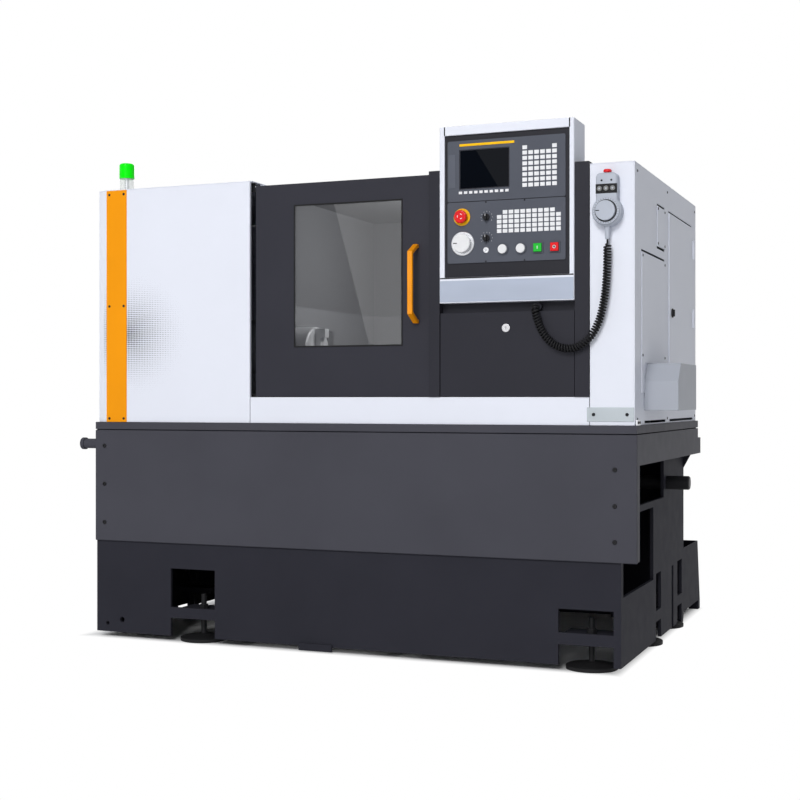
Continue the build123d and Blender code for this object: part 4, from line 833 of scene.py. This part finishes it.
class LATHE_OT_panel_details(bpy.types.Operator):
    """Add the stripe, card cover, dial marks, key switch, and the painted shade in the console's seams,
    notches and key slot
    """
    bl_idname = "lathe.panel_details"
    bl_label = "Console details"

    def execute(self, context):
        stripe = plate_on(on_display, (42, 11), (230, 19), thick=1.4, edge=0.0006)
        complete(stripe, "display_stripe", "stripe")
        card = plate_on(on_display, (3.5, 44), (28, 154), thick=1.0, edge=0.0006)
        complete(card, "card_cover", "card")
        rim = window_frame(on_display((41, 160)), on_display((213, 30)), width=0.0025, depth=0.0008,
                           edge=0.0003)
        complete(rim, "screen_rim", "fascia")
        # Painted shade: dark squares for the small notches at the operator panel's top and bottom edges
        reach = 2.5
        notches = [plate_on(on_operator, (x - reach, y - reach), (x + reach, y + reach),
                            thick=0.4, edge=0.0002)
                   for x in (133, 264) for y in (3.2, 196.8)]
        complete(join(notches), "panel_notches", "painted_gap_shade")
        ticks = [tick_ring(on_operator(place), radius=19.5, length=2.6, width=1.0, thick=0.25,
                           angles=range(-120, 121, 30))
                 for place in ((136, 53), (136, 121))]
        complete(join(ticks), "selector_marks", "key")
        bezel = aim(turned(WHEEL_BEZEL, 64), on_operator((54, 136)), FACING_FRONT)
        complete(bezel, "wheel_bezel", "zinc")
        key_switch = aim(turned(KEY_SWITCH, 32), on_operator((134, 160)), FACING_FRONT)
        complete(key_switch, "key_switch", "zinc")
        # Painted shade: a black block for the shade inside the key's slot
        slot = plate_on(on_operator, (133.2, 157), (134.8, 163), thick=2.6, edge=0.0003)
        complete(slot, "key_switch_slot", "black")
        # Painted shade: dark strips for the seams beside the header and under the fascia
        seams = [rounded_block(spot(x - 2, -0.35, 1736), spot(x + 2, 0.4, 1765), edge=0.0002)
                 for x in (1361, 1784)]
        seams.append(rounded_block(spot(1345, -0.35, 1264.5), spot(1797, 0.4, 1268.5), edge=0.0002))
        complete(join(seams), "console_seams", "painted_gap_shade")
        return {"FINISHED"}


# Marks that move with the controls


def from_node(name):
    """Middle of a node's front face."""
    low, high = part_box(name)
    return Vector(((low.x + high.x) / 2, low.y, (low.z + high.z) / 2))


def bar_on(name, low, high, edge):
    """A thin bar on a node's front, between two corners in millimetres from its middle."""
    front = from_node(name)
    return rounded_block(front + Vector(low) * MM, front + Vector(high) * MM, edge, 1)


class LATHE_OT_control_marks(bpy.types.Operator):
    """Add the selectors' pointers and the marks of the green and the red button"""
    bl_idname = "lathe.control_marks"
    bl_label = "Control marks"

    def execute(self, context):
        for name in ("selector_upper", "selector_lower"):
            line = bar_on(name, (-0.7, -0.3, 2.0), (0.7, 0.6, 9.5), edge=0.0002)
            complete(line, name + "_pointer", "key", name)
        bar = bar_on("button_green", (-1.2, -0.4, -5.0), (1.2, 0.6, 5.0), edge=0.0003)
        complete(bar, "button_green_mark", "key", "button_green")
        ring = aim(turned(BUTTON_RING, 32), from_node("button_red"), FACING_FRONT)
        complete(ring, "button_red_mark", "key", "button_red")
        return {"FINISHED"}


# Work space


class LATHE_OT_liners(bpy.types.Operator):
    """Line the work space that shows through the window; the darker sheets are painted shade on the
    upper walls, the ceiling and around the opening
    """
    bl_idname = "lathe.liners"
    bl_label = "Inner liners"

    def execute(self, context):
        left, left_face, right = 642.2, 643.4, 1985
        front, rear_face, rear = 80, 1099.4, 1100.8
        floor, seam, ceiling_face, ceiling = 792, 1216, 1610.6, 1612.0
        deep_back, deep_top = 690, 1137
        hole_front, hole_back, hole_low, hole_high = 240, 420, 940, 1120
        groups = {
            "liner": [((left, deep_back, floor), (left_face, rear_face, seam)),
                      ((left, front, deep_top), (left_face, deep_back, seam)),
                      ((left, rear_face, floor), (right, rear, seam))],
            # Painted shade: darker sheets on the upper left wall, the upper rear wall and the ceiling
            "liner_painted_shade": [((left, front, seam), (left_face, rear_face, ceiling_face)),
                           ((left, rear_face, seam), (right, rear, ceiling_face)),
                           ((left, front, ceiling_face), (right, rear, ceiling))],
            # Painted shade: the darkest sheets, around the opening in the left wall
            "liner_painted_deep_shade": [((left, front, floor), (left_face, hole_front, deep_top)),
                           ((left, hole_back, floor), (left_face, deep_back, deep_top)),
                           ((left, hole_front, floor), (left_face, hole_back, hole_low)),
                           ((left, hole_front, hole_high), (left_face, hole_back, deep_top))],
        }
        for finish, blocks in groups.items():
            sheets = [rounded_block(spot(*low), spot(*high), LINER_EDGE, 1) for low, high in blocks]
            complete(join(sheets), "work_space_" + finish, finish)
        return {"FINISHED"}


# Pendant

PENDANT_MIDDLE = 1910
PENDANT_FACE = -29.8
KNOB_STEP = 21
KNOB_LEVEL = 1528
LIGHT_LEVEL = 1554
DIAL_PLACE = (PENDANT_MIDDLE, -37.2, 1458)


class LATHE_OT_pendant_details(bpy.types.Operator):
    """Add the pendant's knobs, lights, dial marks, painted shadow ring and pointer"""
    bl_idname = "lathe.pendant_details"
    bl_label = "Pendant details"

    def execute(self, context):
        band = rounded_block(spot(1876, -31, 1513), spot(1944, -29.6, 1543), edge=0.0006)
        complete(band, "pendant_band", "knob_black")
        knob = aim(turned(PENDANT_KNOB, 32), (0, 0, 0), FACING_FRONT)
        places = [spot(PENDANT_MIDDLE + step * KNOB_STEP, PENDANT_FACE, KNOB_LEVEL)
                  for step in (-1, 0, 1)]
        complete(copies(knob, places), "pendant_knobs", "grey_knob")
        light = aim(turned(PENDANT_LIGHT, 24), (0, 0, 0), FACING_FRONT)
        places = [spot(x, PENDANT_FACE - 0.1, LIGHT_LEVEL) for x in (1895, 1926)]
        complete(copies(light, places), "pendant_lights", "knob_black")
        dial = BODY_OF["pendant_dial"]
        # Painted shadow: a black ring around the dial's cap
        ring = aim(turned(DIAL_SHADOW_RING, 64), spot(*DIAL_PLACE), FACING_FRONT)
        complete(ring, "pendant_dial_shadow_ring", "knob_black", dial)
        ticks = tick_ring(spot(*DIAL_PLACE), radius=38.6, length=4.2, width=0.8, thick=0.3,
                          angles=range(0, 360, 12))
        complete(ticks, "pendant_dial_marks", "knob_black", dial)
        pointer = rounded_block(spot(1880.5, -49.6, 1456.7), spot(1891.5, -48.4, 1459.3), 0.0002, 1)
        complete(pointer, "pendant_dial_pointer", "knob_black", dial)
        return {"FINISHED"}


# Small fittings


class LATHE_OT_fittings(bpy.types.Operator):
    """Add the window seal, console band, lamp pole, corner clip, wheel pointer and stop-button arrows"""
    bl_idname = "lathe.fittings"
    bl_label = "Small fittings"

    def execute(self, context):
        seal = window_frame(spot(797, 24.2, 1048), spot(1203, 24.2, 1542), width=0.005, depth=0.0014,
                            edge=0.0005)
        complete(seal, "window_seal", "rubber", BODY_OF["door_panel"])
        low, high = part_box("console_housing")
        lip = Vector((0.002, 0, 0.003))
        proud = Vector((0, 0.0008, 0))
        top = Vector((high.x, low.y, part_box("console_fascia")[0].z))
        band = rounded_block(low + lip - proud, top - lip, 0.0003, 1)
        complete(band, "console_band", "band")
        pole = aim(turned(LAMP_POLE, 32), spot(58, 118, 1639))
        complete(pole, "lamp_pole", "zinc")
        clip = rounded_block(spot(1992, 16, 786), spot(1998.5, 62, 804), edge=0.001)
        complete(clip, "corner_clip", "zinc")
        places = [spot(1998.4, y, 795) for y in (27, 51)]
        screws("corner_clip_screws", places, CLIP_HEAD, "black", FACING_RIGHT)
        pointer = rounded_block(spot(1396.8, -16.9, 1377.7), spot(1409.7, -15.7, 1380.3), 0.0002, 1)
        complete(pointer, "wheel_pointer", "knob_black", BODY_OF["handwheel"])
        sunk = Vector((0, 0.0001, 0))
        arrows = tick_ring(from_node("e_stop_button") + sunk, radius=8.2, length=2.0, width=7.0,
                           thick=0.3, angles=(30, 150, 270))
        complete(arrows, "e_stop_arrows", "key", BODY_OF["e_stop_button"])
        return {"FINISHED"}


# Studio

CAMERA_PLACE = (2910.4, -4247.9, 869.5)
CAMERA_TURN = (math.pi / 2 - 0.0007, 0.0, 0.3822)
SENSOR_WIDTH = 36.0
WHITE = (1, 1, 1, 1)
BLACK = (0, 0, 0, 1)
FLOOR_SIZE = 40
FLOOR_ROUGHNESS = 0.6
# The floor is plain white away from the machine's footprint and shaded inside it, in metres
FOOTPRINT_MARGIN = Vector((0.06, 0, 0))
FOOTPRINT_FADE = (-0.04, 0.015)
AIR_TINT = (0.90, 0.94, 1.0, 1)
AIR_STRENGTH = 0.28
# Lamps: place, target, power in watts and size in metres
LAMPS = {
    "key_light": ((1.0, -10.5, 6.5), (0, -0.4, 0.9), 720, 4.0),
    "front_fill": ((0.8, -9.0, 1.6), (0, -0.4, 0.9), 60, 3.0),
    "rear_fill": ((-2.5, 5.0, 4.0), (0, 0.2, 0.8), 110, 3.0),
    "work_light": (spot(1250, 500, 1500), spot(642, 500, 1150), 9, 0.16),
}
# Cards: place in millimetres, size in metres, tilt in degrees and strength
CARDS = {
    "window_card": ((-1447, -6200, 2033), (0.64, 1.48), -15.3, 3.5),
    "screen_card": ((-461, -6200, 2839), (0.26, 0.62), -31.0, 6.5),
}


def reflection_card(name, place, size, tilt, strength):
    """A bright card behind the camera that only gloss and glass mirror."""
    clear()
    bpy.ops.mesh.primitive_plane_add(size=1, location=spot(*place),
                                     rotation=(math.pi / 2, math.radians(tilt), 0))
    card = bpy.context.object
    card.name = name
    card.scale = (*size, 1)
    card.visible_camera = False
    card.visible_diffuse = False
    card.visible_shadow = False
    material, _, shader = new_material(name + "_paint")
    shader.inputs["Base Color"].default_value = BLACK
    shader.inputs["Emission Color"].default_value = WHITE
    shader.inputs["Emission Strength"].default_value = strength
    card.data.materials.append(material)


def area_lamp(name, place, target, power, size):
    """A square lamp that faces its target."""
    data = bpy.data.lights.new(name, "AREA")
    data.energy = power
    data.size = size
    lamp = bpy.data.objects.new(name, data)
    lamp.location = place
    lamp.rotation_euler = (Vector(target) - Vector(place)).to_track_quat("-Z", "Y").to_euler()
    bpy.context.scene.collection.objects.link(lamp)


def background_rays(tree):
    """One for rays that see the plain background: from the camera, off gloss and through glass."""
    rays = node(tree, "ShaderNodeLightPath")
    names = ("Is Camera Ray", "Is Glossy Ray", "Is Transmission Ray")
    camera, gloss, glass = [rays.outputs[name] for name in names]
    return calculate(tree, "MAXIMUM", calculate(tree, "MAXIMUM", camera, gloss), glass)


def outside_footprint(tree):
    """Rises from none to one across the edge of the base's and the tank's footprint."""
    place = node(tree, "ShaderNodeTexCoord")
    parts = node(tree, "ShaderNodeSeparateXYZ")
    tree.links.new(place.outputs["Object"], parts.inputs["Vector"])
    low = BASE_LOW - FOOTPRINT_MARGIN
    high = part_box("coolant_tank")[1]
    middle = (low + high) / 2
    half = (high - low) / 2
    past = []
    for axis in (0, 1):
        offset = calculate(tree, "SUBTRACT", parts.outputs[axis], middle[axis])
        past.append(calculate(tree, "SUBTRACT", calculate(tree, "ABSOLUTE", offset), half[axis]))
    fade = node(tree, "ShaderNodeMapRange")
    fade.inputs["From Min"].default_value, fade.inputs["From Max"].default_value = FOOTPRINT_FADE
    tree.links.new(calculate(tree, "MAXIMUM", *past), fade.inputs["Value"])
    return fade.outputs["Result"]


def studio_floor():
    """A floor that takes light, and that shows plain white away from the machine."""
    clear()
    bpy.ops.mesh.primitive_plane_add(size=FLOOR_SIZE, location=(0, 0, 0))
    floor = bpy.context.object
    floor.name = "studio_floor"
    material, tree, shader = new_material("studio_floor_paint")
    shader.inputs["Base Color"].default_value = (*colours().floor, 1)
    shader.inputs["Roughness"].default_value = FLOOR_ROUGHNESS
    glow = node(tree, "ShaderNodeEmission", Strength=1.0)
    glow.inputs["Color"].default_value = WHITE
    seen = calculate(tree, "MULTIPLY", background_rays(tree), outside_footprint(tree))
    mix = node(tree, "ShaderNodeMixShader")
    tree.links.new(seen, mix.inputs["Fac"])
    tree.links.new(shader.outputs["BSDF"], mix.inputs[1])
    tree.links.new(glow.outputs["Emission"], mix.inputs[2])
    tree.links.new(mix.outputs["Shader"], tree.nodes["Material Output"].inputs["Surface"])
    floor.data.materials.append(material)


def studio_air(scene):
    """A soft sky that lights the machine and looks plain white."""
    world = bpy.data.worlds.new("studio_air")
    world.use_nodes = True
    scene.world = world
    tree = world.node_tree
    air = tree.nodes["Background"]
    air.inputs["Color"].default_value = AIR_TINT
    air.inputs["Strength"].default_value = AIR_STRENGTH
    plain = node(tree, "ShaderNodeBackground", Strength=1.0)
    plain.inputs["Color"].default_value = WHITE
    mix = node(tree, "ShaderNodeMixShader")
    tree.links.new(background_rays(tree), mix.inputs["Fac"])
    tree.links.new(air.outputs["Background"], mix.inputs[1])
    tree.links.new(plain.outputs["Background"], mix.inputs[2])
    tree.links.new(mix.outputs["Shader"], tree.nodes["World Output"].inputs["Surface"])


def photo_camera(scene):
    """The camera, in the photo's place."""
    data = bpy.data.cameras.new("photo_camera")
    data.lens = sizes().lens
    data.sensor_width = SENSOR_WIDTH
    camera = bpy.data.objects.new("photo_camera", data)
    camera.location = spot(*CAMERA_PLACE)
    camera.rotation_euler = CAMERA_TURN
    scene.collection.objects.link(camera)
    scene.camera = camera


class LATHE_OT_stage(bpy.types.Operator):
    """Set the floor, the soft light, the cards and the camera"""
    bl_idname = "lathe.stage"
    bl_label = "Studio"

    def execute(self, context):
        scene = context.scene
        scene.view_settings.view_transform = "Standard"
        studio_floor()
        studio_air(scene)
        for name, values in LAMPS.items():
            area_lamp(name, *values)
        for name, values in CARDS.items():
            reflection_card(name, *values)
        photo_camera(scene)
        return {"FINISHED"}


class LATHE_PT_panel(bpy.types.Panel):
    """Sizes, colours and steps of the lathe"""
    bl_idname = "LATHE_PT_panel"
    bl_label = "Turning lathe"
    bl_space_type = "VIEW_3D"
    bl_region_type = "UI"
    bl_category = "Lathe"

    def draw(self, context):
        for group in (context.scene.lathe_sizes, context.scene.lathe_colours):
            for key in group.__annotations__:
                self.layout.prop(group, key)
        for operator in OPERATORS:
            self.layout.operator(operator.bl_idname)


OPERATORS = [LATHE_OT_finishes, LATHE_OT_stage, LATHE_OT_cord, LATHE_OT_skins, LATHE_OT_screws,
             LATHE_OT_panel_keys, LATHE_OT_panel_details, LATHE_OT_control_marks, LATHE_OT_liners,
             LATHE_OT_pendant_details, LATHE_OT_fittings]
CLASSES = [LatheSizes, LatheColours, *OPERATORS, LATHE_PT_panel]


def register():
    for kind in CLASSES:
        bpy.utils.register_class(kind)
    bpy.types.Scene.lathe_sizes = bpy.props.PointerProperty(type=LatheSizes)
    bpy.types.Scene.lathe_colours = bpy.props.PointerProperty(type=LatheColours)


def unregister():
    del bpy.types.Scene.lathe_colours
    del bpy.types.Scene.lathe_sizes
    for kind in reversed(CLASSES):
        bpy.utils.unregister_class(kind)


def main():
    register()
    for operator in OPERATORS:
        step = operator.bl_idname.split(".")[1]
        getattr(bpy.ops.lathe, step)()
    clear()


if __name__ == "__main__":
    main()
